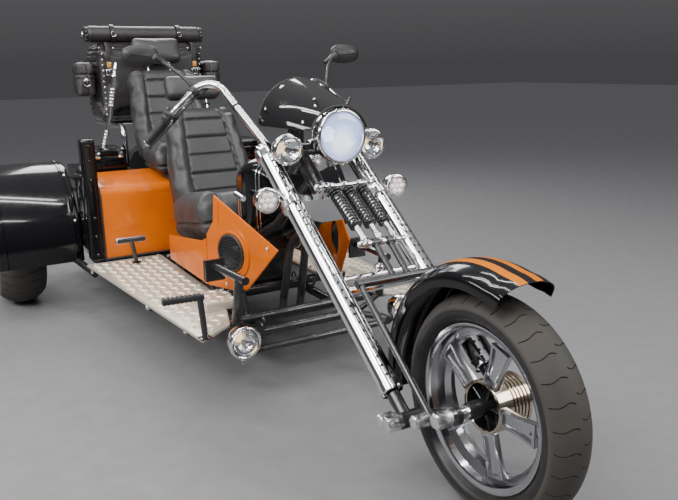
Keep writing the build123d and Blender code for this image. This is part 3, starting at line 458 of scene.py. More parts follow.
def bar(start, end, radius, sides=24, edge=0.0015):
    """Round bar with eased ends."""
    start, end = Vector(start), Vector(end)
    length = (end - start).length
    begin()
    bpy.ops.mesh.primitive_cylinder_add(vertices=sides, radius=radius, depth=length)
    piece = bpy.context.object
    if edge:
        choose_faces(piece, lambda c, n: abs(n.z) > 0.9)
        bpy.ops.mesh.bevel(offset=edge, segments=2, affect="EDGES")
    return placed(piece, (start + end) / 2, end - start)


def bent_pipe(points, radius, sides=10, order=3):
    """Smooth round pipe or cable along these points."""
    begin()
    bpy.ops.curve.primitive_nurbs_path_add()
    path = bpy.context.object
    spline = path.data.splines[0]
    path.data.splines.remove(spline)
    spline = path.data.splines.new("NURBS")
    spline.points.add(len(points) - 1)
    for point, place in zip(spline.points, points):
        point.co = (*place, 1)
    spline.order_u = order
    spline.use_endpoint_u = True
    spline.resolution_u = 8
    path.data.dimensions = "3D"
    path.data.bevel_depth = radius
    path.data.bevel_resolution = max(1, sides // 4)
    path.data.use_fill_caps = True
    only(path)
    bpy.ops.object.convert(target="MESH")
    return bpy.context.object


def plate(outline, thickness, edge=0.002, segments=2):
    """Flat outline in the XY plane, given a thickness up Z, with eased edges."""
    piece = drawn_line([(x, y, 0) for x, y in outline], close=True)
    bpy.ops.mesh.select_all(action="SELECT")
    bpy.ops.mesh.extrude_region_move(TRANSFORM_OT_translate={"value": (0, 0, thickness)})
    bpy.ops.mesh.select_all(action="SELECT")
    bpy.ops.mesh.normals_make_consistent(inside=False)
    if edge:
        bpy.ops.mesh.select_mode(type="EDGE")
        bpy.ops.mesh.select_all(action="DESELECT")
        bpy.ops.mesh.edges_select_sharp(sharpness=radians(30))
        bpy.ops.mesh.bevel(offset=edge, segments=segments, affect="EDGES")
    bpy.ops.object.mode_set(mode="OBJECT")
    return piece


def eased_box(low, high, edge=0.004, segments=2):
    size = [b - a for a, b in zip(low, high)]
    middle = [(a + b) / 2 for a, b in zip(low, high)]
    begin()
    bpy.ops.mesh.primitive_cube_add(size=1, location=middle, scale=size)
    piece = settle(bpy.context.object)
    return on_whole(piece, bpy.ops.mesh.bevel, offset=edge, segments=segments, affect="EDGES")


def applied(piece, kind, **values):
    """Adds a modifier and applies it."""
    only(piece)
    change = piece.modifiers.new(kind.lower(), kind)
    for label, value in values.items():
        setattr(change, label, value)
    bpy.ops.object.modifier_apply(modifier=change.name)
    return piece


def hex_nut(width, height, dome=True):
    """Six-sided nut with a chamfered top, or a domed one."""
    begin()
    bpy.ops.mesh.primitive_cylinder_add(vertices=6, radius=width / 2, depth=height)
    piece = bpy.context.object
    choose_faces(piece, lambda c, n: n.z > 0.9)
    bpy.ops.mesh.inset(thickness=width * 0.07, depth=height * 0.10)
    if dome:
        bpy.ops.mesh.inset(thickness=width * 0.06, depth=height * 0.14)
        bpy.ops.mesh.inset(thickness=width * 0.12, depth=height * 0.20)
        bpy.ops.mesh.inset(thickness=width * 0.10, depth=height * 0.07)
    bpy.ops.object.mode_set(mode="OBJECT")
    return piece


def set_out(pattern, places):
    """Copies of a small pattern piece, each at (place, axis), joined in one."""
    made = []
    for place, axis in places:
        turn = Vector(axis).to_track_quat("Z", "Y").to_matrix().to_4x4()
        made.append(copied(pattern, Matrix.Translation(Vector(place)) @ turn))
    bpy.data.objects.remove(pattern)
    return joined(made)


# The record's slot that each finish belongs to

SLOT = {name: name for name in SKIN}


def extra_skin(name, slot_name, made):
    """A finish of its own that belongs to one of the record's slots."""
    SKIN[name] = made
    SLOT[name] = slot_name


extra_skin("hub_gold", "wheel_metal", material(
    "hub_gold", (0.60, 0.52, 0.41), 0.14, metal=1.0, other=(0.52, 0.43, 0.33), scale=9, bump=0.02))
extra_skin("sidewall", "tyre", material(
    "sidewall", (0.012, 0.011, 0.011), 0.42, other=(0.018, 0.016, 0.015), scale=14, bump=0.12))
extra_skin("satin_chrome", "chrome", material(
    "satin_chrome", (0.92, 0.92, 0.93), 0.24, metal=1.0, other=(0.84, 0.84, 0.85), scale=24, bump=0.01))
extra_skin("recess_black", "wheel_metal", material(
    "recess_black", (0.012, 0.012, 0.013), 0.28, coat=0.5, scale=30))
extra_skin("stripe_orange", "black_gloss", material(
    "stripe_orange", (0.62, 0.165, 0.0), 0.36, other=(0.56, 0.145, 0.0), coat=0.2, bump=0.01,
    specular_ior_level=0.1))
extra_skin("brass", "black_frame", material(
    "brass", (0.60, 0.42, 0.14), 0.24, metal=1.0, other=(0.50, 0.34, 0.11), scale=20))
extra_skin("slider_black", "black_frame", material(
    "slider_black", (0.014, 0.014, 0.015), 0.22, coat=0.6, scale=30))
extra_skin("mirror_face", "black_plastic", material(
    "mirror_face", (0.82, 0.84, 0.86), 0.04, metal=1.0, spread=0.01, bump=0.0))


# Wheels

FRONT_CENTRE = (AXLE_X, 0, AXLE_Z)
TREAD_PITCHES = 32
SPOKES = 5


def turn_chosen(angle):
    """Turns the chosen points about the piece's own Z axis."""
    bpy.ops.transform.rotate(value=-angle, orient_axis="Z", center_override=(0, 0, 0))


def make_tyre(name, body, centre, radius, width, rim_radius, rim_half, depth):
    """Road tyre with curved slits across the tread, the two sides half a pitch apart."""
    half = width / 2
    fall = 0.24 * width
    crown = (half * half + fall * fall) / (2 * fall)
    tread = [0.07 + 0.11 * i for i in range(9)]

    def crown_height(y):
        return radius - crown + sqrt(crown * crown - y * y)

    rows = [(crown_height(u * half), u * half) for u in tread]
    shoulder = radius - fall
    wall_start = rim_radius + 0.0025
    wall = [
        (shoulder, half), (shoulder - 0.007, half + 0.0020), (shoulder - 0.010, half + 0.0012),
        ((shoulder + wall_start) / 2 + 0.004, half + 0.0028),
        ((shoulder + wall_start) / 2 - 0.004, half + 0.0022),
        (wall_start + 0.011, (half + rim_half) / 2 + 0.004),
        (wall_start + 0.008, (half + rim_half) / 2),
        (wall_start, rim_half - 0.004), (rim_radius - 0.006, rim_half - 0.010),
    ]
    side = [(r, -y) for r, y in reversed(wall)] + [(r, -y) for r, y in reversed(rows)]
    around = 4 * TREAD_PITCHES
    tyre = spun(side + [(r, -y) for r, y in reversed(side)], steps=around, up=(1, 0, 0))
    step = 2 * pi / around
    for group, shift in ((1, 2.1), (2, 1.4), (3, 0.7)):
        choose_points(tyre, lambda p: round(atan2(p.y, p.x) / step) % 4 == group)
        turn_chosen(-radians(shift))
    low, high = tread[0] * half, tread[-1] * half

    def in_slit(c, n):
        turn = (atan2(c.y, c.x) % (4 * step)) / step
        return turn < 0.26 and low < abs(c.z) < high and c.xy.length > shoulder

    choose_faces(tyre, in_slit)
    bpy.ops.mesh.inset(thickness=0.0005, depth=-depth)
    for u in tread:
        for side_sign in (-1, 1):
            place = side_sign * u * half
            choose_points(tyre, lambda p: abs(p.z - place) < 0.003 and p.xy.length > shoulder - depth)
            wave = 0.020 * sin(2 * pi * u) + 0.035 * u
            turn_chosen(side_sign * wave + (2 * step if side_sign > 0 else 0))
    bpy.ops.object.mode_set(mode="OBJECT")
    placed(tyre, centre, (0, 1, 0), (0, 0, 1))
    dress(tyre, name, "tyre", body, name, angle=50)
    tyre.data.materials.append(SKIN["sidewall"])
    for face in tyre.data.polygons:
        if hypot(face.center.x - centre[0], face.center.z - centre[2]) < shoulder - 0.009:
            face.material_index = 1
    return tyre


def rim_profile(bead, flange, half):
    well = bead - 0.022
    outside = [
        (flange, half), (flange + 0.001, half - 0.003), (flange - 0.001, half - 0.006),
        (bead, half - 0.012), (bead, half - 0.030), (well, half - 0.042), (well, -half + 0.042),
        (bead, -half + 0.030), (bead, -half + 0.012), (flange - 0.001, -half + 0.006),
        (flange + 0.001, -half + 0.003), (flange, -half),
    ]
    inside = [
        (flange - 0.006, -half), (bead - 0.006, -half + 0.006), (bead - 0.008, -half + 0.026),
        (well - 0.007, -half + 0.038), (well - 0.007, half - 0.038), (bead - 0.008, half - 0.026),
        (bead - 0.006, half - 0.006), (flange - 0.006, half), (flange, half),
    ]
    return outside + inside


def make_spokes(inner, outer, foot, tip, thickness, channel):
    """Star spokes lying in the XY plane, each a channel between two rails."""
    middle = (inner + outer) / 2
    waist = 0.82 * (foot + tip) / 2
    outline = [
        (inner, -foot), (middle, -waist), (outer, -tip), (outer, tip), (middle, waist), (inner, foot),
    ]
    spoke = plate(outline, thickness, edge=0.0022)
    choose_faces(spoke, lambda c, n: abs(n.z) > 0.95)
    bpy.ops.mesh.inset(thickness=0.0065, depth=0)
    bpy.ops.mesh.inset(thickness=0.0025, depth=-channel)
    bpy.ops.object.mode_set(mode="OBJECT")
    made = [copied(spoke, Matrix.Rotation(pi / 2 + 2 * pi * i / SPOKES, 4, "Z")) for i in range(SPOKES)]
    bpy.data.objects.remove(spoke)
    return joined(made)


def make_front_wheel():
    rim = spun(rim_profile(0.218, 0.230, 0.050), FRONT_CENTRE, (0, 1, 0), 96)
    spokes = make_spokes(0.070, 0.192, 0.025, 0.033, 0.022, 0.007)
    placed(spokes, (AXLE_X, -0.036, AXLE_Z), (0, 1, 0), (0, 0, 1))
    dress(joined([rim, spokes]), "front_rim_and_spokes", "wheel_metal", "front_wheel",
          "front_wheel", angle=35)
    drum = [(0.0640, 0.006), (0.0640, -0.0335), (0.0660, -0.0355), (0.0720, -0.0355), (0.0740, -0.0335)]
    for i in range(5):
        start = 0.012 + 0.012 * i
        drum += [
            (0.0740, start), (0.0730, start + 0.001), (0.0680, start + 0.0016),
            (0.0680, start + 0.0048), (0.0730, start + 0.0054), (0.0740, start + 0.0064),
        ]
    drum += [(0.0740, 0.076), (0.062, 0.083), (0.030, 0.084), (0.026, 0.088), (0.0105, 0.088)]
    barrel = spun(drum, FRONT_CENTRE, (0, 1, 0), 72)
    lugs = set_out(hex_nut(0.013, 0.007), [
        ((AXLE_X + 0.048 * cos(a), 0.0865, AXLE_Z + 0.048 * sin(a)), (0, 1, 0))
        for a in (2 * pi * i / 6 for i in range(6))
    ])
    dress(joined([barrel, lugs]), "front_hub_drum", "hub_gold", "front_wheel", angle=35)
    cup = spun(
        [(0.0635, -0.032), (0.0625, 0.004), (0.060, 0.0055), (0.036, 0.0055), (0.032, -0.002),
         (0.024, -0.004), (0.024, -0.082), (0.021, -0.088), (0.0105, -0.088)],
        FRONT_CENTRE, (0, 1, 0), 64,
    )
    ribs = []
    for i in range(SPOKES):
        rib = eased_box((0.022, -0.0022, -0.004), (0.0640, 0.0022, 0.0220), 0.0008, 1)
        rib.data.transform(Matrix.Rotation(pi / 2 + 2 * pi * i / SPOKES, 4, "Z"))
        ribs.append(placed(rib, (AXLE_X, -0.022, AXLE_Z), (0, 1, 0), (0, 0, 1)))
    dress(joined([cup] + ribs), "front_hub_recess", "recess_black", "front_wheel", angle=35)
    valve = bar((AXLE_X + 0.198, -0.022, AXLE_Z), (AXLE_X + 0.172, -0.030, AXLE_Z), 0.004, 12, 0.001)
    dress(valve, "front_valve", "grip_rubber", "front_wheel")


def make_rear_wheel(side_name, sign):
    body = f"rear_wheel_{side_name}"
    middle = sign * REAR_WHEEL_Y
    centre = (REAR_X, middle, REAR_Z)
    rim = spun(rim_profile(0.190, 0.203, 0.0935), centre, (0, 1, 0), 80)
    spokes = make_spokes(0.054, 0.165, 0.024, 0.032, 0.022, 0.007)
    placed(spokes, (REAR_X, middle + sign * 0.024 - 0.011, REAR_Z), (0, 1, 0), (0, 0, 1))
    hub = spun(
        [(0.022, -0.060), (0.058, -0.060), (0.060, -0.058), (0.060, 0.036), (0.056, 0.043),
         (0.036, 0.046), (0.034, 0.040), (0.0, 0.040)],
        centre, (0, sign, 0), 56,
    )
    bolts = set_out(hex_nut(0.019, 0.010), [
        ((REAR_X + 0.047 * cos(a), middle + sign * 0.046, REAR_Z + 0.047 * sin(a)), (0, sign, 0))
        for a in (2 * pi * i / 5 for i in range(5))
    ])
    dress(joined([rim, spokes, hub, bolts]), body + "_star", "wheel_metal", body, body, angle=35)


# Fork

# Angles from the leg's front face towards its outer side
HOLE_ROWS = [radians(-15), radians(15), radians(118)]
HOLES_IN_ROW = 30
FIRST_HOLE, HOLE_PITCH, HOLE_RADIUS = 0.090, 0.0305, 0.0046
FENDER_START, FENDER_END = 68, 196


def make_fork_covers():
    """Drilled chrome covers with a collar at each end, over black inner tubes."""
    for name, sign in (("right", -1), ("left", 1)):
        top = fork_point(0, 0, sign * LEG_Y)
        outer, wall, length = 0.033, 0.002, 1.020
        profile = [
            (outer - wall, 0.004), (outer - wall, 0.0), (outer + 0.002, 0.0), (outer + 0.002, 0.016),
            (outer, 0.019), (outer, length - 0.030), (outer + 0.003, length - 0.027),
            (outer + 0.003, length - 0.003), (outer + 0.0005, length), (outer - wall, length),
            (outer - wall, 0.004),
        ]
        cover = spun(profile, top, DOWN, 56, up=OFF)
        holes = []
        for i in range(HOLES_IN_ROW):
            start = top + DOWN * (FIRST_HOLE + HOLE_PITCH * i)
            for turn in HOLE_ROWS:
                across = OFF * cos(turn) + Vector((0, sign * sin(turn), 0))
                holes.append((start + across * outer, across))
        drill = bar((0, 0, -0.006), (0, 0, 0.006), HOLE_RADIUS, 10, 0)
        cutter = set_out(drill, holes)
        applied(cover, "BOOLEAN", operation="DIFFERENCE", object=cutter, solver="EXACT")
        bpy.data.objects.remove(cutter)
        cap = spun(
            [(0.0, -0.010), (0.012, -0.009), (0.024, -0.005), (0.0305, 0.001), (0.0305, 0.010)],
            top, DOWN, 40,
        )
        dress(joined([cover, cap]), f"fork_cover_{name}", "chrome", "fork", "fork_legs", angle=35)
        inner = bar(top + DOWN * 0.02, top + DOWN * 1.015, 0.026, 32, 0.001)
        dress(inner, f"fork_inner_tube_{name}", "slider_black", "fork")


def helix(start, axis, radius, length, turns, per_turn=12):
    axis = Vector(axis).normalized()
    side = Vector((0, 1, 0))
    front = axis.cross(side)
    count = turns * per_turn
    return [
        Vector(start) + axis * (length * i / count)
        + side * (radius * cos(2 * pi * i / per_turn)) + front * (radius * sin(2 * pi * i / per_turn))
        for i in range(count + 1)
    ]


def make_springs():
    """Three coil units with chrome rods, on round-ended cross shafts."""
    start, end = fork_point(0.282, 0.077), fork_point(0.558, 0.096)
    axis = (end - start).normalized()
    span = (end - start).length
    coils, rods = [], []
    for i in range(3):
        shift = Vector((0, 0.055 * (i - 1), 0))
        coil_foot = start + shift + axis * 0.028
        coils.append(bent_pipe(helix(coil_foot, axis, 0.0182, 0.158, 11), 0.0038, 8, 3))
        for at in (0.022, 0.190):
            coils.append(spun(
                [(0.010, 0), (0.0195, 0), (0.0215, 0.002), (0.0215, 0.006), (0.0185, 0.008),
                 (0.010, 0.008)], start + shift + axis * at, axis, 32))
        coils.append(bar(start + shift + axis * 0.010, start + shift + axis * 0.060, 0.0125, 28))
        rods.append(spun(
            [(0.0, 0.050), (0.0100, 0.050), (0.0100, span - 0.030), (0.0130, span - 0.028),
             (0.0130, span - 0.016), (0.0, span - 0.012)], start + shift, axis, 32))
        for place in (start, end):
            eye = spun(
                [(0.0085, -0.012), (0.0130, -0.012), (0.0140, -0.010), (0.0140, 0.010), (0.0130, 0.012),
                 (0.0085, 0.012), (0.0085, -0.012)], place + shift, (0, 1, 0), 32)
            rods.append(eye)
    dress(joined(coils), "spring_coils", "spring_black", "fork", "fork_springs", angle=50)
    dress(joined(rods), "spring_rods", "chrome", "fork", angle=40)
    balls = []
    for place, half in ((start, 0.104), (end, 0.079)):
        for sign in (-1, 1):
            balls.append(spun(
                [(0.0, 0.012), (0.006, 0.011), (0.0105, 0.007), (0.012, 0.001), (0.012, -0.006),
                 (0.0085, -0.008)], place + Vector((0, sign * half, 0)), (0, sign, 0), 28))
    dress(joined(balls), "spring_shaft_caps", "chrome", "fork")


def rocker_point(back, y):
    slope = radians(23)
    return Vector((AXLE_X - back * cos(slope), y, AXLE_Z - back * sin(slope)))


def make_rocker_nuts():
    """Chrome nuts with chamfered tops where the links, legs and rods pivot."""
    places = []
    for sign in (-1, 1):
        for back, y, size in (
            (0.0, 0.160, 0.046), (0.078, 0.175, 0.040), (0.1672, 0.206, 0.046), (0.250, 0.180, 0.046),
        ):
            places.append((rocker_point(back, sign * y), sign, size))
    nuts = []
    for place, sign, size in places:
        nut = hex_nut(size, 0.046, dome=False)
        applied(nut, "BEVEL", width=0.0016, segments=2, limit_method="ANGLE")
        nuts.append(placed(nut, place + Vector((0, sign * 0.007, 0)), (0, sign, 0), (0, 0, 1)))
    dress(joined(nuts), "rocker_nuts", "satin_chrome", "fork", angle=30)


def make_front_fender():
    """Crowned fender with a flared lip, two stripes along it and a rolled edge."""
    centre = Vector((AXLE_X - 0.020, 0, AXLE_Z + 0.015))
    half = 0.094
    crown = 0.378
    drop = 0.046
    across = [half * i / 7 for i in range(7)] + [0.0873, 0.0912, 0.0933]
    across = [-y for y in reversed(across[1:])] + across
    section = [(crown - drop * (1 - sqrt(1 - (y / half) ** 2)), y) for y in across]
    skirt = [
        (crown - drop - 0.003, half), (crown - 0.064, half), (crown - 0.066, half - 0.003),
        (crown - 0.062, half - 0.006),
    ]
    profile = [(r, -y) for r, y in reversed(skirt)] + section + skirt
    span = radians(FENDER_END - FENDER_START)
    fender = spun(profile, steps=48, turn=span, up=(1, 0, 0))
    applied(fender, "SOLIDIFY", thickness=0.003, offset=-1)
    flare = radians(9)
    lip_out = Vector((cos(span), -sin(span), 0))
    for i in range(5):
        start = span - flare * (1 - i / 5)
        choose_points(fender, lambda p: atan2(-p.y, p.x) % (2 * pi) > start - 0.001)
        bpy.ops.transform.translate(value=lip_out * 0.0016)
    bpy.ops.object.mode_set(mode="OBJECT")
    fender.data.materials.append(SKIN["black_gloss"])
    fender.data.materials.append(SKIN["stripe_orange"])
    for face in fender.data.polygons:
        across = abs(face.center.z)
        outwards = face.normal.xy.dot(face.center.xy.normalized()) > 0.5
        striped = outwards and 0.0125 < across < 0.0405 and face.center.xy.length > crown - 0.014
        face.material_index = 1 if striped else 0
    turn_to = Vector((cos(radians(FENDER_END)), 0, sin(radians(FENDER_END))))
    placed(fender, centre, (0, -1, 0), turn_to)
    only(fender)
    fender.name = "front_fender_shell"
    bpy.ops.object.shade_smooth_by_angle(angle=radians(35))
    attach(fender, "fork")
    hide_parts("front_fender")
    return fender


# Lamps

extra_skin("bulb_glow", "lamp_glass", material(
    "bulb_glow", (1.0, 0.97, 0.92), 0.30, bump=0.0, emission_color=(0.93, 0.96, 1.0, 1),
    emission_strength=6.0))
extra_skin("warm_glow", "lamp_glass", material(
    "warm_glow", (1.0, 0.86, 0.62), 0.30, bump=0.0, emission_color=(1.0, 0.74, 0.42, 1),
    emission_strength=2.0))
extra_skin("led_face", "lamp_glass", material(
    "led_face", (0.72, 0.60, 0.58), 0.16, other=(0.62, 0.50, 0.50), coat=1.0, bump=0.02))
extra_skin("led_dome", "lamp_glass", material(
    "led_dome", (0.95, 0.88, 0.86), 0.08, coat=1.0, bump=0.0, emission_color=(1.0, 0.9, 0.88, 1),
    emission_strength=0.5))
extra_skin("lit_glass", "lamp_glass", material(
    "lit_glass", (0.55, 0.62, 0.78), 0.05, bump=0.0, spread=0.01, alpha=0.80, coat=1.0,
    emission_strength=1.8))
extra_skin("cover_glass", "lamp_glass", material(
    "cover_glass", (0.97, 0.98, 1.0), 0.02, bump=0.0, spread=0.01, transmission_weight=1.0, alpha=0.28))


def make_lamp(name, body, centre, radius, depth, glow=None):
    """Round lamp: bucket with a rolled ring and, where it glows, bowl, shaded bulb and domed cover."""
    r, d = radius, depth
    bucket = spun(
        [(0, -d), (0.25 * r, -0.99 * d), (0.46 * r, -0.95 * d), (0.66 * r, -0.87 * d),
         (0.82 * r, -0.75 * d), (0.93 * r, -0.58 * d), (0.99 * r, -0.38 * d), (r, -0.20 * d),
         (r, -0.009), (r + 0.003, -0.007), (r + 0.004, -0.003), (r + 0.004, 0.003),
         (r + 0.001, 0.007), (r - 0.003, 0.008), (r - 0.006, 0.006), (r - 0.007, 0.001)],
        centre, (1, 0, 0), 64,
    )
    pieces = [bucket]
    if glow:
        pieces.append(spun(
            [(r - 0.007, 0.001), (0.86 * r, -0.10 * d), (0.66 * r, -0.30 * d), (0.42 * r, -0.44 * d),
             (0.20 * r, -0.50 * d), (0, -0.51 * d)], centre, (1, 0, 0), 64))
        pieces.append(spun(
            [(0.0, -0.14 * d), (0.14 * r, -0.15 * d), (0.17 * r, -0.19 * d), (0.17 * r, -0.30 * d)],
            centre, (1, 0, 0), 32))
        bulb = spun(
            [(0.05 * r, -0.50 * d), (0.15 * r, -0.44 * d), (0.16 * r, -0.34 * d), (0.10 * r, -0.27 * d),
             (0, -0.25 * d)], centre, (1, 0, 0), 24)
        dress(bulb, name + "_bulb", glow, body)
        cover = spun(
            [(r - 0.0070, 0.002), (0.86 * r, 0.006), (0.66 * r, 0.0092), (0.42 * r, 0.0112),
             (0.20 * r, 0.0121), (0, 0.0124)], centre, (1, 0, 0), 64)
        dress(cover, name + "_cover", "lit_glass" if name == "headlight" else "cover_glass", body)
    return joined(pieces)


LED_RING = 6
LED_RING_RADIUS = 0.0205


def make_led_lamp(name, centre, radius, depth):
    """Small lamp whose face holds a ring of domes round a middle one."""
    bucket = make_lamp(name, "fork", centre, radius, depth)
    face = spun([(radius - 0.007, 0.001), (0.8 * radius, 0.002), (0, 0.002)], centre, (1, 0, 0), 48)
    dress(face, name + "_face", "led_face", "fork")
    dome = spun(
        [(0.0092, 0), (0.0090, 0.0026), (0.0072, 0.0054), (0.0040, 0.0072), (0, 0.0078)], steps=20)
    places = [((centre[0] + 0.002, centre[1], centre[2]), (1, 0, 0))]
    for i in range(LED_RING):
        angle = 2 * pi * i / LED_RING
        y, z = LED_RING_RADIUS * cos(angle), LED_RING_RADIUS * sin(angle)
        places.append(((centre[0] + 0.002, centre[1] + y, centre[2] + z), (1, 0, 0)))
    dress(set_out(dome, places), name + "_domes", "led_dome", "fork")
    return bucket


# Distance behind the front axle, side, height, radius, depth
SPOT = (0.850, 0.165, 0.925, 0.050, 0.058)
SMALL = (0.827, 0.258, 0.767, 0.040, 0.062)
HEAD = (behind(0.776), 0, 0.966)


def glow_from(skin, middle, reach, steps):
    """Lit glass that is brightest at its bulb and falls to blue at its edge."""
    tree = skin.node_tree
    where = tree.nodes.new("ShaderNodeTexCoord")
    centred = tree.nodes.new("ShaderNodeMapping")
    centred.inputs["Location"].default_value = [-value / reach for value in middle]
    centred.inputs["Scale"].default_value = (1 / reach, 1 / reach, 1 / reach)
    fall = tree.nodes.new("ShaderNodeTexGradient")
    fall.gradient_type = "SPHERICAL"
    ramp = tree.nodes.new("ShaderNodeValToRGB")
    points = ramp.color_ramp.elements
    points[0].position, points[0].color = steps[0]
    points[1].position, points[1].color = steps[-1]
    for position, colour in steps[1:-1]:
        points.new(position).color = colour
    tree.links.new(where.outputs["Object"], centred.inputs["Vector"])
    tree.links.new(centred.outputs["Vector"], fall.inputs["Vector"])
    tree.links.new(fall.outputs["Fac"], ramp.inputs["Fac"])
    tree.links.new(ramp.outputs["Color"], tree.nodes["Principled BSDF"].inputs["Emission Color"])


glow_from(SKIN["lit_glass"], (HEAD[0], -0.006, HEAD[2] - 0.022), 0.100, [
    (0.0, (0.10, 0.14, 0.34, 1)), (0.30, (0.20, 0.27, 0.56, 1)),
    (0.52, (0.42, 0.55, 0.95, 1)), (0.72, (1.0, 1.0, 1.0, 1)),
])


def make_lamps():
    head = make_lamp("headlight", "fork", HEAD, 0.088, 0.120, "bulb_glow")
    screw_x = HEAD[0] + 0.004
    screw = bar((screw_x, 0, HEAD[2] - 0.092), (screw_x, 0, HEAD[2] - 0.098), 0.004, 12)
    dress(joined([head, screw]), "headlight_bucket", "chrome", "fork",
          "headlight", "lamp_glass", angle=40)
    buckets = []
    for sign in (-1, 1):
        for kind, (back, y, z, radius, depth) in (("spot", SPOT), ("small", SMALL)):
            centre = (behind(back), sign * y, z)
            name = f"{kind}_lamp_{'left' if sign > 0 else 'right'}"
            if kind == "spot":
                buckets.append(make_lamp(name, "fork", centre, radius, depth, "warm_glow"))
            else:
                buckets.append(make_led_lamp(name, centre, radius, depth))
            nut_place = Vector(centre) - Vector((depth + 0.002, 0, 0))
            buckets.append(placed(hex_nut(0.016, 0.010), nut_place, (-1, 0, 0)))
    dress(joined(buckets), "spot_lamp_buckets", "chrome", "fork", "spot_lamps", angle=40)
    fogs = []
    for sign in (-1, 1):
        centre = (behind(0.888), sign * 0.338, 0.262)
        name = f"fog_lamp_{'left' if sign > 0 else 'right'}"
        fogs.append(make_lamp(name, "frame", centre, 0.056, 0.074, "warm_glow"))
        post = (centre[0] - 0.030, centre[1], centre[2] - 0.054)
        fogs.append(spun(
            [(0, -0.040), (0.006, -0.036), (0.0085, -0.030), (0.006, -0.024), (0.0055, -0.018),
             (0.013, -0.014), (0.015, -0.006), (0.012, 0.002), (0.0, 0.004)], post, (0, 0, 1), 28))
    dress(joined(fogs), "fog_lamp_buckets", "chrome", "frame", "fog_lamps", "fog_lamp_glass", angle=40)


# Footboards

# Lugs coloured far lighter than the plate: a painted highlight on their tops.
extra_skin("painted_highlight_lugs", "plate", material(
    "painted_highlight_lugs", (1.0, 0.90, 0.70), 0.30, metal=0.2, other=(0.92, 0.82, 0.62), scale=30, bump=0.03))

BOARD_TOP = 0.290
# Distance behind the front axle, distance from the middle
BOARD = [
    (0.926, 0.478), (2.178, 0.606), (2.178, 0.246), (1.500, 0.246), (1.180, 0.288), (1.028, 0.336),
]
LUG_PITCH = 0.040
LUG_ROWS, LUGS_ACROSS = 33, 10
LUG_SIZE = (0.0185, 0.0066, 0.0042)


def inside(outline, x, y, margin):
    """Whether a point lies inside an outline, this far from each of its edges."""
    crossings = False
    nearest = 1.0
    for (x0, y0), (x1, y1) in zip(outline, outline[1:] + outline[:1]):
        if (y0 > y) != (y1 > y) and x < x0 + (y - y0) * (x1 - x0) / (y1 - y0):
            crossings = not crossings
        edge = Vector((x1 - x0, y1 - y0))
        share = max(0.0, min(1.0, ((x - x0) * edge.x + (y - y0) * edge.y) / edge.length_squared))
        nearest = min(nearest, (Vector((x0, y0)) + edge * share - Vector((x, y))).length)
    return crossings and nearest > margin


def make_footboards():
    """Chequer plate: raised lugs in two directions on a board with a turned edge and a toe step."""
    outline = [(behind(x), -y) for x, y in BOARD]
    board = plate(outline, 0.014, edge=0.0045, segments=3)
    board.data.transform(Matrix.Translation((0, 0, BOARD_TOP - 0.014)))
    step_low = (behind(1.355), -0.370, BOARD_TOP - 0.001)
    step_high = (behind(1.185), -0.240, BOARD_TOP + 0.034)
    step = eased_box(step_low, step_high, 0.004, 3)
    lugs = []
    begin()
    bpy.ops.mesh.primitive_uv_sphere_add(segments=10, ring_count=6, radius=1, scale=LUG_SIZE)
    lug = settle(bpy.context.object)
    choose_points(lug, lambda p: p.z < -0.0002)
    bpy.ops.mesh.delete(type="VERT")
    bpy.ops.object.mode_set(mode="OBJECT")
    for i in range(LUG_ROWS):
        for j in range(LUGS_ACROSS):
            x, y = behind(0.93 + LUG_PITCH * i), -(0.250 + LUG_PITCH * j)
            turn = Matrix.Rotation(radians(45 if (i + j) % 2 else -45), 4, "Z")
            on_step = step_low[0] + 0.018 < x < step_high[0] - 0.018 and y > step_low[1] + 0.018
            beside = step_low[0] - 0.018 < x < step_high[0] + 0.018 and y > step_low[1] - 0.018
            if on_step:
                lugs.append(copied(lug, Matrix.Translation((x, y, step_high[2])) @ turn))
            elif not beside and inside(outline, x, y, 0.017):
                lugs.append(copied(lug, Matrix.Translation((x, y, BOARD_TOP)) @ turn))
    bpy.data.objects.remove(lug)
    bolts = set_out(hex_nut(0.015, 0.007), [
        ((behind(x), -y, BOARD_TOP + 0.003), (0, 0, 1))
        for x, y in (
            (1.06, 0.46), (1.48, 0.505), (1.9, 0.545), (2.14, 0.575), (2.14, 0.27), (1.54, 0.27))
    ])
    right_board, right_lugs = joined([board, step, bolts]), joined(lugs)
    left_board, left_lugs = mirrored(right_board), mirrored(right_lugs)
    dress(right_board, "footboard_right", "plate", "frame", "footboards", angle=35)
    dress(left_board, "footboard_left", "plate", "frame", angle=35)
    # The lugs take the lighter colour, a painted highlight on their tops.
    dress(right_lugs, "footboard_right_lugs", "painted_highlight_lugs", "frame", angle=35)
    dress(left_lugs, "footboard_left_lugs", "painted_highlight_lugs", "frame", angle=35)


